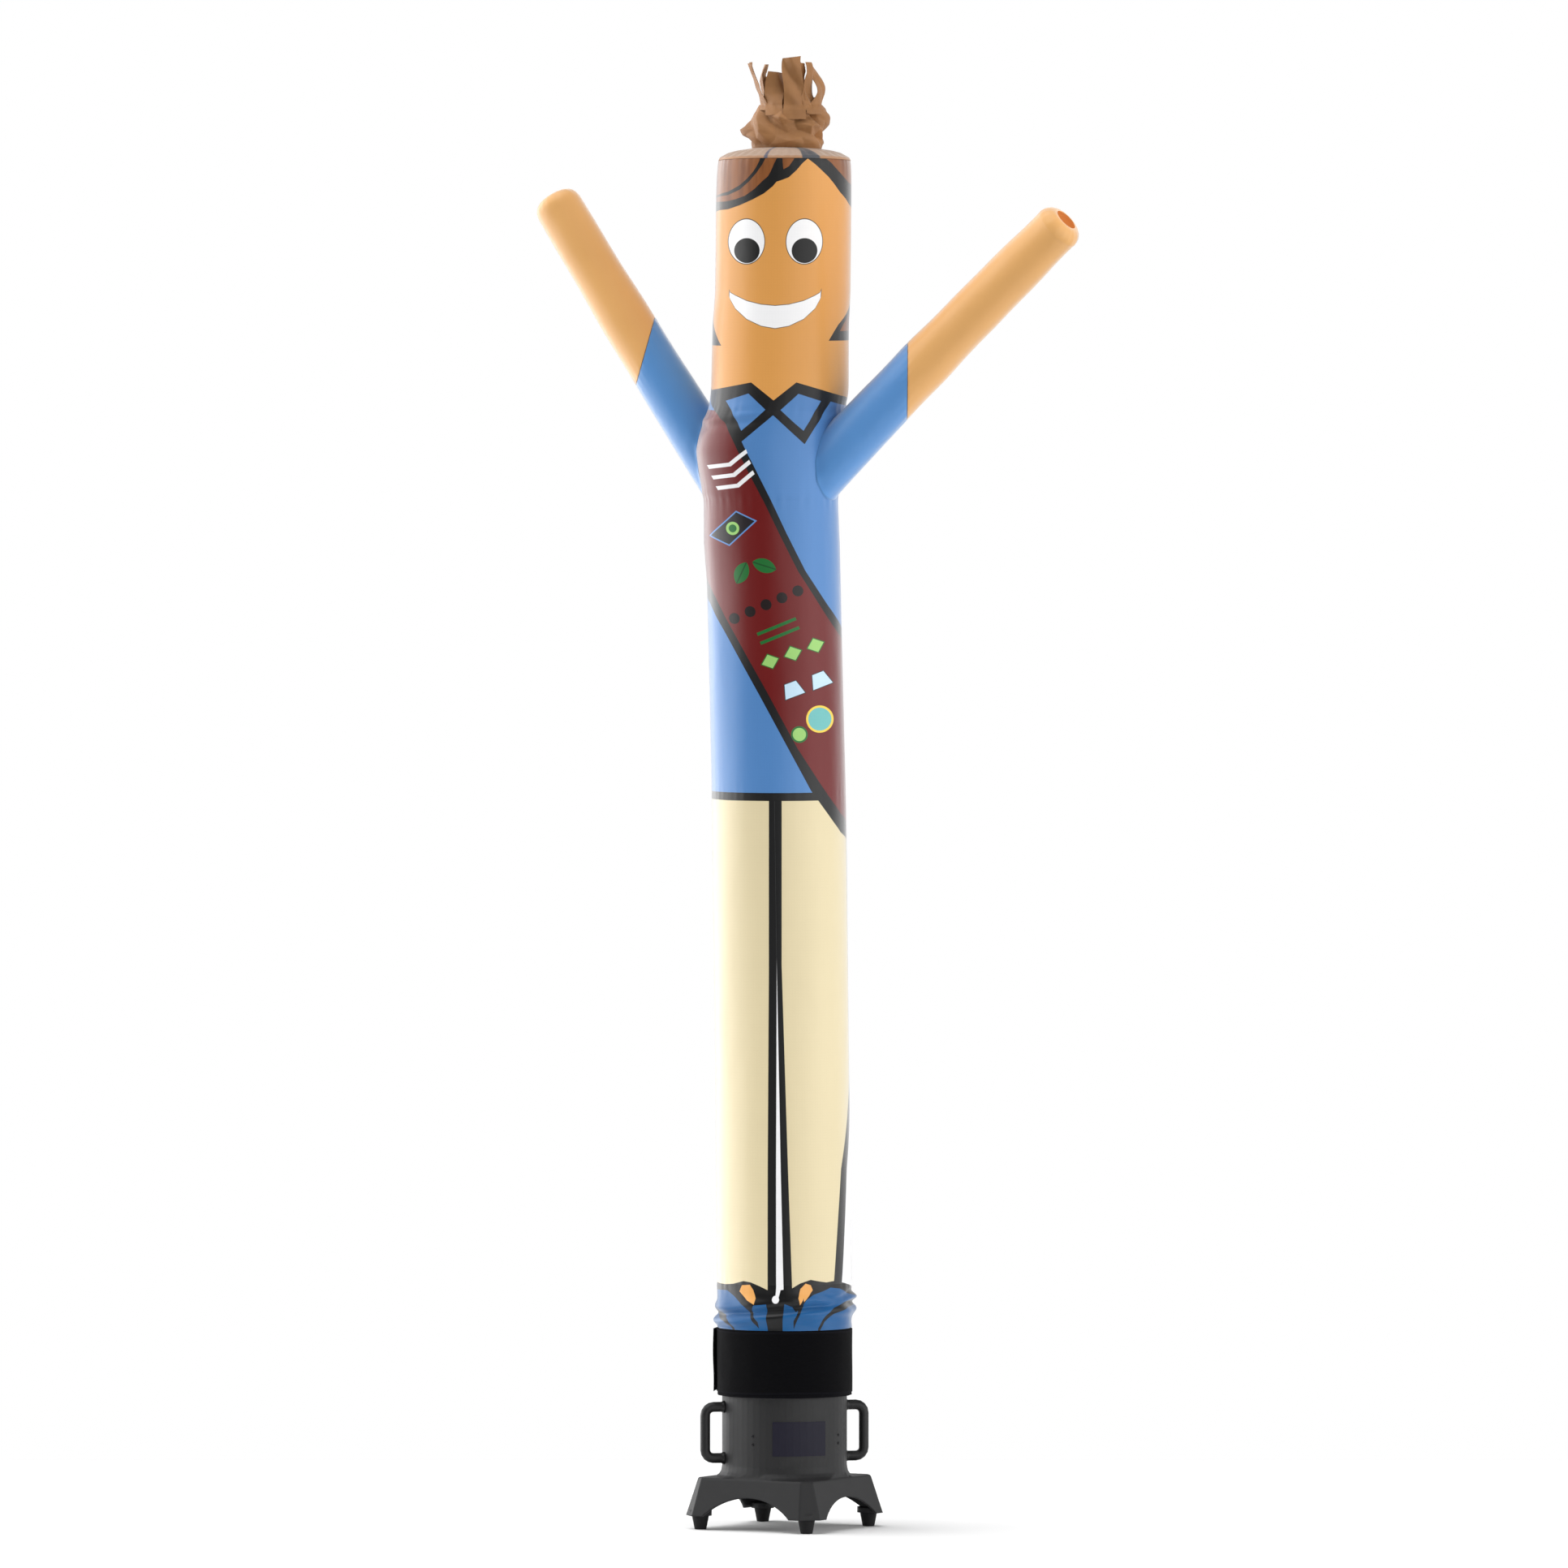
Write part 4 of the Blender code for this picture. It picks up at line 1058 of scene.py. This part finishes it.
def arm_forearm(side, material, lining):
    """The forearm: arm_point from the seam to a rounded tip, a quarter turn in to the open mouth."""
    arm, angle = ARMS[side], ARM_TURN
    _, seam = wall_and_seam(arm, angle)
    slope = arm.slope + 2 * arm.bend * (arm.reach - WALL_REACH)
    length = math.sqrt(1 + slope * slope)
    end_run = ARM_END_DEPTH / length
    share = np.linspace(0, 1, 90)[:, None]
    reach = seam + (arm.reach - end_run - seam) * share
    from_seam = (reach - seam) * length
    radius = arm_radius(arm, reach) - 0.0006 * bump(from_seam, 0.0025)
    radius = radius + arm_creases(angle, from_seam, 0.0004, 19)
    around = np.broadcast_to(angle, reach.shape)
    body = arm_point(arm, reach, around, radius)
    turn = np.radians(np.linspace(0, 90, 22))[1:, None]
    tip_reach = arm.reach - end_run * (1 - np.sin(turn)) + 0 * angle
    narrow = arm_radius(arm, np.array(arm.reach)) - ARM_MOUTH_RADIUS
    gather = 0.0003 * np.sin(17 * angle + np.sin(3 * angle)) * np.sin(turn) * np.cos(turn) * 2
    tip_radius = ARM_MOUTH_RADIUS + narrow * np.cos(turn) + gather
    tip = arm_point(arm, tip_reach, np.broadcast_to(angle, tip_reach.shape), tip_radius)
    points = np.concatenate((body, tip))
    run = np.concatenate((from_seam, from_seam[-1:] + np.degrees(turn) / 90 * 0.056))
    around = np.broadcast_to(angle, run.shape)
    return arm_piece(side, "forearm", "skin_cloth", around, points, run, material, lining)


def clear_of_arms(points):
    """Marks the quads of the shoulder that no sleeve opens through."""
    middles = (points[:-1] + points[1:]) / 2
    middles = (middles + np.roll(middles, -1, axis=1)) / 2 - np.array((AXIS_X, AXIS_Y, 0.0))
    stay = np.ones(middles.shape[:2], bool)
    for arm in ARMS.values():
        reach = np.linspace(0.12, 0.24, 49)
        centre = arm_point(arm, reach, np.zeros(reach.shape), np.zeros(reach.shape))
        gap = np.linalg.norm(middles[:, :, None, :] - centre, axis=-1).min(axis=-1)
        stay &= gap > ARM_ROOT_RADIUS - 0.004
    return stay


def arm_cloth(name, base, seam_dark):
    """Plain cloth of an arm, in a colour lightened as painted light, with a thin dark line of stitching at
    its start.
    """
    art = Paint(name)
    along, up, _ = art.split(art.map("cloth"))
    place = art.own_place()
    colour = art.tint(base, seam_dark, (0.0022 - abs(up)).mask(0.0012))
    return art.coated(colour, along, up, art.noise(place, 9.0, 3.0), art.noise(place, 3.0, 3.0, 0.6))


def lit_lining():
    """The arms' inner side, which glows a little from the daylight that thin cloth lets through."""
    art = Paint("lit lining")
    glow = art.over(linear(190, 142, 84), linear(210, 166, 106), art.noise(art.own_place(), 30.0, 2.0))
    art.feed(art.shader.inputs["Emission Color"], glow)
    return art.finish(ARM_SKIN_PAINTED_LIGHTER, 0.8, None, Emission_Strength=0.3)


# The crown and the hair

CROWN = ((0.1510, 3.1230), (0.1480, 3.1290), (0.1300, 3.1385), (0.1100, 3.1445), (0.0780, 3.1500))
# The tuft's ring: height, middle and half width
HAIR_RINGS = np.array((
    (3.132, 0.0049, 0.0790), (3.150, 0.0049, 0.0790), (3.167, 0.0076, 0.0813), (3.179, 0.0084, 0.0843),
    (3.193, 0.0102, 0.0865), (3.2065, 0.0104, 0.0868), (3.216, 0.0110, 0.0845), (3.231, 0.0148, 0.0800),
    (3.241, 0.0160, 0.0753), (3.250, 0.0142, 0.0690),
))
RING_DEPTH = 0.95
# Each strip: side of the ring, width at its root and its top, then from the root up the column and row of the
# view, the degrees turned from the front and the depth behind the axis
STRIPS = (
    (-1, 0.040, 0.040, (
        (942, 136, -70, -0.034), (940, 129, -76, -0.030), (936, 117, -80, -0.022), (930, 100, -81, -0.016),
        (922.4, 78, -81, -0.010),
    )),
    (1, 0.040, 0.040, (
        (941, 136, 70, 0.030), (940, 129, 76, 0.028), (939, 113, 81, 0.026), (939.5, 103, 80, 0.026),
        (944.5, 80, 86, 0.030),
    )),
    (-1, 0.048, 0.040, (
        (954, 142, -35, -0.058), (953.3, 129, -30, -0.057), (953.3, 119, -14, -0.054), (955, 104, 14, -0.050),
        (956.3, 89.3, 30, -0.046),
    )),
    (-1, 0.054, 0.0415, (
        (979, 147, 0, -0.070), (979.2, 129, 0, -0.070), (979.2, 119, 3, -0.070), (977.3, 100, 6, -0.071),
        (975.7, 71, 4, -0.071),
    )),
    (-1, 0.030, 0.036, (
        (992, 136, 60, -0.056), (991.2, 129, 76, -0.052), (990, 113, 83, -0.048), (988.8, 78, 83, -0.045),
    )),
    (-1, 0.036, 0.032, (
        (1002, 140, 45, -0.050), (1001, 129, 50, -0.048), (998.4, 121, 56, -0.044), (997, 113, 60, -0.040),
        (998, 94.7, 60, -0.034), (996.8, 77.3, 72, -0.030),
    )),
    (-1, 0.042, 0.034, (
        (1006, 141, 52, -0.040), (1005.3, 129, 54, -0.036), (1008, 121, 60, -0.030),
        (1011.2, 112, 63, -0.024), (1010, 103, 63, -0.018), (1004, 92, 68, -0.010), (998.7, 81, 80, -0.006),
    )),
    (1, 0.040, 0.040, ((950, 136, 20, 0.056), (951, 112, 20, 0.050), (952, 96, 20, 0.048))),
    (1, 0.040, 0.040, ((966, 136, 0, 0.066), (966, 112, 5, 0.060), (965, 93, 8, 0.054))),
    (1, 0.040, 0.040, ((982, 136, -10, 0.066), (981, 112, -12, 0.056), (981, 84, -10, 0.050))),
    (1, 0.036, 0.036, ((994, 136, -30, 0.058), (992, 120, -40, 0.046), (991, 106, -50, 0.040))),
    (1, 0.036, 0.036, ((1005, 136, -50, 0.036), (1005, 126, -60, 0.030), (1004, 120, -66, 0.026))),
)


def crown_cloth(material):
    """The low domed ring from the head's rim in to the hair, with fine folds between its two seams."""
    profile = np.array(CROWN)
    share = np.linspace(0, 1, 26)
    at = np.linspace(0, 1, len(profile))
    radius = np.interp(share, at, profile[:, 0])
    height = np.interp(share, at, profile[:, 1])
    turn = FULL_TURN
    pucker = 0.0012 * np.sin(38 * turn + 2 * np.sin(3 * turn))
    rise = height[:, None] + pucker * (np.sin(math.pi * share) ** 2)[:, None]
    points = tilted(radius[:, None] * np.sin(turn), -radius[:, None] * np.cos(turn), rise)
    true = np.stack(np.broadcast_arrays(turn * 0.12, -radius[:, None]), axis=-1)
    placed = np.stack(np.broadcast_arrays(turn, radius[:, None]), axis=-1)
    maps = {"print": [placed], "cloth": [true]}
    piece = walled(surface("crown_cloth", [points[:, :-1]], material, maps=maps))
    return fitted(piece, "crown_cloth", "crown_panel")


def facets(across, up, around, seed=0.0):
    """Crumpled paper: chance heights at the corners of a coarse net of triangles, and flat planes between."""
    column, row = np.floor(across), np.floor(up)
    a, b = across - column, up - row

    def corner(i, j):
        chance = 43758.5453 * np.sin(12.9898 * np.mod(column + i, around) + 78.233 * (row + j) + seed)
        return chance - np.floor(chance)

    lower = corner(0, 0) * (1 - a - b) + corner(1, 0) * a + corner(0, 1) * b
    upper = corner(1, 1) * (a + b - 1) + corner(0, 1) * (1 - a) + corner(1, 0) * (1 - b)
    return np.where(a + b < 1, lower, upper)


def hair_ring():
    """The ring: ellipses read up its height, pushed in and out as crumpled paper.

    It has a sharp fold at its left and a slanting pocket at its front right.
    """
    angle = np.linspace(0, math.tau, 289)
    height = np.linspace(HAIR_RINGS[0, 0], HAIR_RINGS[-1, 0], 72)[:, None]
    middle = np.interp(height, HAIR_RINGS[:, 0], HAIR_RINGS[:, 1])
    half = np.interp(height, HAIR_RINGS[:, 0], HAIR_RINGS[:, 2])
    across = 15 * angle / math.tau + 0.40 * np.sin(2 * angle + 60 * height)
    up = (height - 3.13) / 0.021 + 0.50 * np.sin(3 * angle + 1.0)
    free = smoothstep((height - 3.146) / 0.026) * (1 - 0.65 * smoothstep((height - 3.218) / 0.020))
    push = 0.032 * free * (facets(across, up, 15, 2.0) - 0.5)
    fold = 0.018 * np.maximum(0, 1 - abs(angle - math.pi) / 0.45 - abs(height - 3.1935) / 0.022)
    round_, rise = 0.078 * (angle - 5.393), height - 3.2330
    beside, along = 0.75 * round_ + 0.658 * rise, 0.658 * round_ - 0.75 * rise
    pocket = 0.016 * np.maximum(0, 1 - abs(beside) / 0.008) * bump(along / 0.030, 1.0)
    x = middle + (half + push + fold - pocket) * np.cos(angle)
    y = RING_DEPTH * (half + push - pocket) * np.sin(angle)
    return axis_point(x, y, height), angle, height


def hair_strip(number, strip):
    """One strip: it leaves the ring in its surface, then follows a low polynomial fitted to its points.

    It is curled across by a square and creased as crumpled paper.
    """
    side, root_width, top_width, path = strip
    path = np.array(path)
    t = np.linspace(0, 1, 44)[:, None]
    k = np.linspace(-1, 1, 13)
    row = path[0, 1] + (path[-1, 1] - path[0, 1]) * t
    at = (path[:, 1] - path[0, 1]) / (path[-1, 1] - path[0, 1])
    order = min(len(path) - 1, 4)
    column, turn, depth = (np.polyval(np.polyfit(at, path[:, i], order), t) for i in (0, 2, 3))
    height = (FLOOR_ROW - row) * PIXEL
    middle = np.interp(height, HAIR_RINGS[:, 0], HAIR_RINGS[:, 1])
    half = np.interp(height, HAIR_RINGS[:, 0], HAIR_RINGS[:, 2])
    away = np.clip(((column - AXIS_COLUMN) * PIXEL - middle) / half, -0.93, 0.93)
    rim = np.sqrt(1 - away**2)
    free = smoothstep((height - 3.246) / 0.030)
    depth = mixed(side * (RING_DEPTH * half * rim + 0.0040), depth, free)
    turn = mixed(np.arctan2(-side * RING_DEPTH * away, rim), np.radians(turn), free)
    crumple = facets(0.8 * k + 7 + 3 * number, 3.2 * t + 0.5 * k, 97, 1.3 * number) - 0.5
    crease = 0.015 * smoothstep(6 * t) * crumple
    crease = crease + side * 0.0029 * k**2
    across = 0.5 * (root_width + (top_width - root_width) * t) * k
    x = (column - AXIS_COLUMN) * PIXEL + across * np.cos(turn) + crease * np.sin(turn)
    y = depth + across * np.sin(turn) - crease * np.cos(turn)
    height = height + 0.0025 * k * math.sin(2.3 * number + 0.8) * t
    return axis_point(x, y, height), across, (row[0] - row) * PIXEL + 0 * k


def hair_cloth(material):
    """The tuft: the crumpled ring and its strips, as one sheet."""
    ring, angle, height = hair_ring()
    grids = [ring]
    maps = [np.stack(np.broadcast_arrays(angle * 0.082, height - HAIR_RINGS[0, 0]), axis=-1)]
    for number, strip in enumerate(STRIPS):
        points, across, up = hair_strip(number, strip)
        grids.append(points)
        maps.append(np.stack((across + number * 0.05, up + 0.1), axis=-1))
    piece = walled(surface("hair_cloth", grids, material, closed=False, maps={"cloth": maps}), 0.0009)
    return fitted(piece, "hair_cloth", "hair")


def tuft_cloth():
    """Creased brown cloth: fine weave, soft small creases and darker patches."""
    art = Paint("creased brown cloth")
    along, up, _ = art.split(art.map("cloth"))
    place = art.own_place()
    blotch = art.noise(place, 9.0, 3.0, 0.6)
    normal = art.raised(art.noise(place, 40.0, 3.0, 0.55), 0.004, 0.35)
    normal = art.raised(art.weave(along, up), 0.00012, 0.5, normal)
    colour = art.over(TUFT_BROWN, linear(132, 92, 56), blotch.run(2.0, -0.7).clamped())
    return art.finish(colour, blotch.run(0.12, 0.48), normal, Specular_IOR_Level=0.25, Sheen_Weight=0.15,
                      Sheen_Roughness=0.4)


def crown_print():
    """Pale beige cloth, on which the printed locks run on towards the hair."""
    art = Print("printed crown cloth")
    turn, radius, _ = art.split(art.map("print"))
    colour = art.over(CROWN_BEIGE, linear(172, 128, 94), (radius - 0.1485).mask(0.004))
    bands = ((-0.29, 0.030, 0.034, (96, 96, 108)), (0.42, 0.150, 0.105, (86, 88, 92)))
    for middle, near, far, shade in bands:
        width = (radius - 0.083).run((near - far) / 0.068, far)
        colour = art.over(colour, linear(*shade), (width - abs(turn - middle)).mask(0.02))
    return art.woven(colour, Sheen_Weight=0.15, Specular_IOR_Level=0.1)


# The cuff and the strap

CUFF_RADIUS = 0.1525
STRAP_RADIUS = 0.1550
STRAP_BOTTOM = 0.313
STRAP_TOP = 0.4555
# Degrees, from +X towards +Y: where the strap starts, and how far it goes round
STRAP_START = 150.0
STRAP_WRAP = 396.0


def webbing(name, ribbed):
    """Black cloth that takes little light: cross ribs for the strap, plain weave for the cuff."""
    art = Paint(name)
    along, up, _ = art.split(art.map("cloth"))
    place = art.own_place()
    fuzz = art.noise(place, 420.0, 2.0, 0.6)
    slack = art.noise(place, 11.0, 2.0)
    pitch = 0.0022 if ribbed else 0.0011
    ribs = (up * (math.tau / pitch)).math("SINE") * (along * (math.tau / 0.0011)).math("SINE").run(0.35, 0.65)
    edge = (up - 0.004).least(STRAP_TOP - STRAP_BOTTOM - 0.004 - up).mask(0.001)
    normal = art.raised(slack, 0.008, 0.4)
    normal = art.raised(ribs + fuzz, 0.0003, 0.6, normal)
    colour = art.over(linear(15, 15, 19), linear(9, 9, 11), edge if ribbed else fuzz)
    return art.finish(colour, 0.95, normal, Specular_IOR_Level=0.04, Sheen_Weight=0.03, Sheen_Roughness=0.5)


def cuff_cloth(material):
    """The black end over the outlet: a round tube with small ripples that grow towards its lower edge."""
    turn = FULL_TURN
    height = np.linspace(CUFF_BOTTOM, CUFF_TOP, 30)[:, None]
    ripple = 0.0010 * np.sin(23 * turn + 2 * np.sin(3 * turn)) * smoothstep((0.318 - height) / 0.02)
    radius = CUFF_RADIUS + 0.0006 + ripple
    points = axis_point(radius * np.sin(turn), -radius * np.cos(turn), height)
    true = np.stack(np.broadcast_arrays(turn * CUFF_RADIUS, height - CUFF_BOTTOM), axis=-1)
    piece = walled(surface("cuff_cloth", [points[:, :-1]], material, maps={"cloth": [true]}))
    return fitted(piece, "black_cuff", "cuff")


def strap_cloth(material):
    """The hook-and-loop strap: once round from the back left, over its own start, its end standing off."""
    along = np.linspace(0, STRAP_WRAP, 330)
    height = np.linspace(STRAP_BOTTOM, STRAP_TOP, 26)[:, None]
    lift = 0.0026 * smoothstep((along - 300.0) / 50.0)
    lift = lift + 0.0065 * smoothstep((along - STRAP_WRAP + 14.0) / 14.0)
    wave = 0.0008 * np.sin(np.radians(along) * 7 + 40 * height) + 0.0006 * np.sin(np.radians(along) * 17)
    wave = wave * (0.4 + smoothstep((along - 330) / 60))
    angle = np.radians(STRAP_START + along)
    sag = 0.0012 * np.sin(np.radians(along) * 3 + 1) * np.ones_like(height)
    radius = STRAP_RADIUS + lift + wave * bump((height - 0.384) / 0.07, 1.0)
    points = axis_point(radius * np.cos(angle), radius * np.sin(angle), height + sag)
    true = np.stack(np.broadcast_arrays(np.radians(along) * STRAP_RADIUS, height - STRAP_BOTTOM), axis=-1)
    piece = walled(surface("strap_cloth", [points], material, closed=False, maps={"cloth": [true]}), 0.0018)
    return fitted(piece, "black_webbing", "strap")


# The blower's finishes


def moulded_plastic(name, base, rough, grain=0.00018, edge=0.006):
    """Moulded plastic: softened edges, a fine grain and faint lighter scuffs."""
    art = Paint(name)
    place = art.own_place()
    fine = art.noise(place, 900.0, 2.0, 0.6)
    broad = art.noise(place, 12.0, 4.0, 0.6)
    softened = art.node("ShaderNodeBevel", {"samples": 8}, {"Radius": edge})
    normal = art.raised(fine, grain, 0.6, softened)
    scuff = broad.run(4.0, -2.2).clamped()
    lighter = tuple(c * 1.35 + 0.004 for c in base)
    colour = art.over(base, lighter, scuff * 0.5)
    return art.finish(colour, broad.run(0.14, rough - 0.07), normal, Specular_IOR_Level=0.27)


def blackened(name):
    """Blackened steel with fine specks."""
    art = Paint(name)
    specks = art.noise(art.own_place(), 1500.0, 2.0)
    return art.finish(linear(30, 30, 32), specks.run(0.2, 0.3), art.raised(specks, 0.0001, 0.5), Metallic=0.8)


def dress(node, material):
    """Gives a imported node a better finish."""
    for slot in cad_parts[node].material_slots:
        slot.material = material


# The studio

# The room's three soft lights, at the left, the front right and the back right. Each is its heading from the
# front towards the right, its brightness, and the angles to where it is full and where it is gone
ROOM_WALLS = ((-110, 3.7, 14, 58), (48, 2.2, 8, 54), (120, 1.0, 45, 90))
ROOM_DARK = 0.02
ROOM_CEILING = 3.0
ROOM_LAMP = (-0.30, -0.12, 0.946)
FLOOR_REACH = 2.2


def studio():
    """A pale floor in a dark room with three soft lights on its walls and one overhead, seen as white."""
    floor = Paint("pale floor")
    floor.finish(linear(250, 250, 250), 0.9, Specular_IOR_Level=0.1)
    side = np.linspace(-FLOOR_REACH, FLOOR_REACH, 3)
    x, y = np.meshgrid(side, side)
    points = np.stack((x, y, np.full_like(x, -0.0005)), axis=-1)
    surface("floor", [points], floor.material, closed=False)

    world = bpy.data.worlds.new("studio room")
    world.use_nodes = True
    room = Nodes(world.node_tree)
    way = room.node("ShaderNodeTexCoord")
    across, back, up = room.split(way)
    heading = across.math("ARCTAN2", -back)
    walls = 0.0
    for turn, strength, full, gone in ROOM_WALLS:
        facing = (heading - math.radians(turn)).math("COSINE")
        full, gone = math.cos(math.radians(full)), math.cos(math.radians(gone))
        walls = walls + strength * room.rise(facing, gone, full)
    lamp = room.vector("DOT_PRODUCT", way, ROOM_LAMP, 1)
    lamp = room.rise(lamp, math.cos(math.radians(42)), math.cos(math.radians(16)))
    shine = ROOM_DARK + walls * room.rise(abs(up), 0.80, 0.25) + ROOM_CEILING * lamp
    seen = room.node("ShaderNodeLightPath")
    backdrop = world.node_tree.nodes["Background"]
    room.feed(backdrop.inputs["Strength"], mixed(shine, 1.0, seen))
    backdrop.inputs["Color"].default_value = (1.0, 1.0, 1.0, 1.0)
    bpy.context.scene.world = world


def camera():
    """A long lens level with the figure's top, looking along +Y and a little down, as in the photograph."""
    middle = (FLOOR_ROW - VIEW_SIDE / 2) * PIXEL
    drop = math.atan2(VIEW_HEIGHT - middle, VIEW_DISTANCE)
    away = math.hypot(VIEW_HEIGHT - middle, VIEW_DISTANCE)
    made = bpy.data.objects.new("camera", bpy.data.cameras.new("camera"))
    made.data.sensor_width = SENSOR
    made.data.lens = SENSOR * away / (VIEW_SIDE * PIXEL)
    made.data.clip_end = 200.0
    across = AXIS_X + (VIEW_SIDE / 2 - AXIS_COLUMN) * PIXEL
    made.location = (across, AXIS_Y - VIEW_DISTANCE, VIEW_HEIGHT)
    made.rotation_euler = (math.pi / 2 - drop, 0.0, 0.0)
    bpy.context.scene.collection.objects.link(made)
    bpy.context.scene.camera = made


def build():
    """Every sheet of cloth over the solid it stands for, then the finishes of the rigid nodes."""
    tube_panel("head_cloth", "head_panel", "skin_cloth", SHOULDER_TOP, HEAD_TOP, 0.0045, head_print())
    tube_panel("shoulder_cloth", "shoulder_panel", "blue_cloth", SHOULDER_BOTTOM, SHOULDER_TOP, 0.0030,
               shoulder_print(), keep=clear_of_arms)
    tube_panel("shirt_cloth", "shirt_panel", "blue_cloth", SHIRT_HEM, SHOULDER_BOTTOM, 0.006, shirt_print())
    tube_panel("trouser_cloth", "trouser_panel", "khaki_cloth", SHOE_TOP, SHIRT_HEM, 0.008, trouser_print())
    tube_panel("shoe_cloth", "shoe_panel", "shoe_cloth", CUFF_TOP, SHOE_TOP, 0.0022, shoe_print())
    # The arms' colours are paler copies of the body's: painted light
    sleeve_cloth = arm_cloth("plain blue cloth", SLEEVE_BLUE_PAINTED_LIGHTER, 0.80)
    skin_cloth = arm_cloth("plain skin cloth", ARM_SKIN_PAINTED_LIGHTER, 0.12)
    lining = lit_lining()
    for side in ARMS:
        arm_sleeve(side, sleeve_cloth)
        arm_forearm(side, skin_cloth, lining)
    crown_cloth(crown_print())
    hair_cloth(tuft_cloth())
    cuff_cloth(webbing("black cuff cloth", False))
    strap_cloth(webbing("black strap webbing", True))

    moulded = moulded_plastic("dark moulded plastic", linear(33, 33, 34), 0.52)
    grip = moulded_plastic("grip plastic", linear(27, 27, 28), 0.42)
    rubber = moulded_plastic("foot rubber", linear(20, 20, 21), 0.75, 0.0003, 0.002)
    label = moulded_plastic("label plate", linear(13, 11, 30), 0.60, 0.00004, 0.0)
    for node, material in (
        ("housing", moulded), ("intake_guard", moulded), ("cord_gland", grip), ("label_plate", label),
        ("left_handle", grip), ("right_handle", grip),
    ):
        dress(node, material)
    for number in range(1, 5):
        dress(f"foot_{number}", rubber)
    screw = blackened("blackened screw")
    for number in range(1, 9):
        dress(f"screw_{number}", screw)


build()
studio()
camera()
bpy.context.scene.view_settings.view_transform = "Standard"
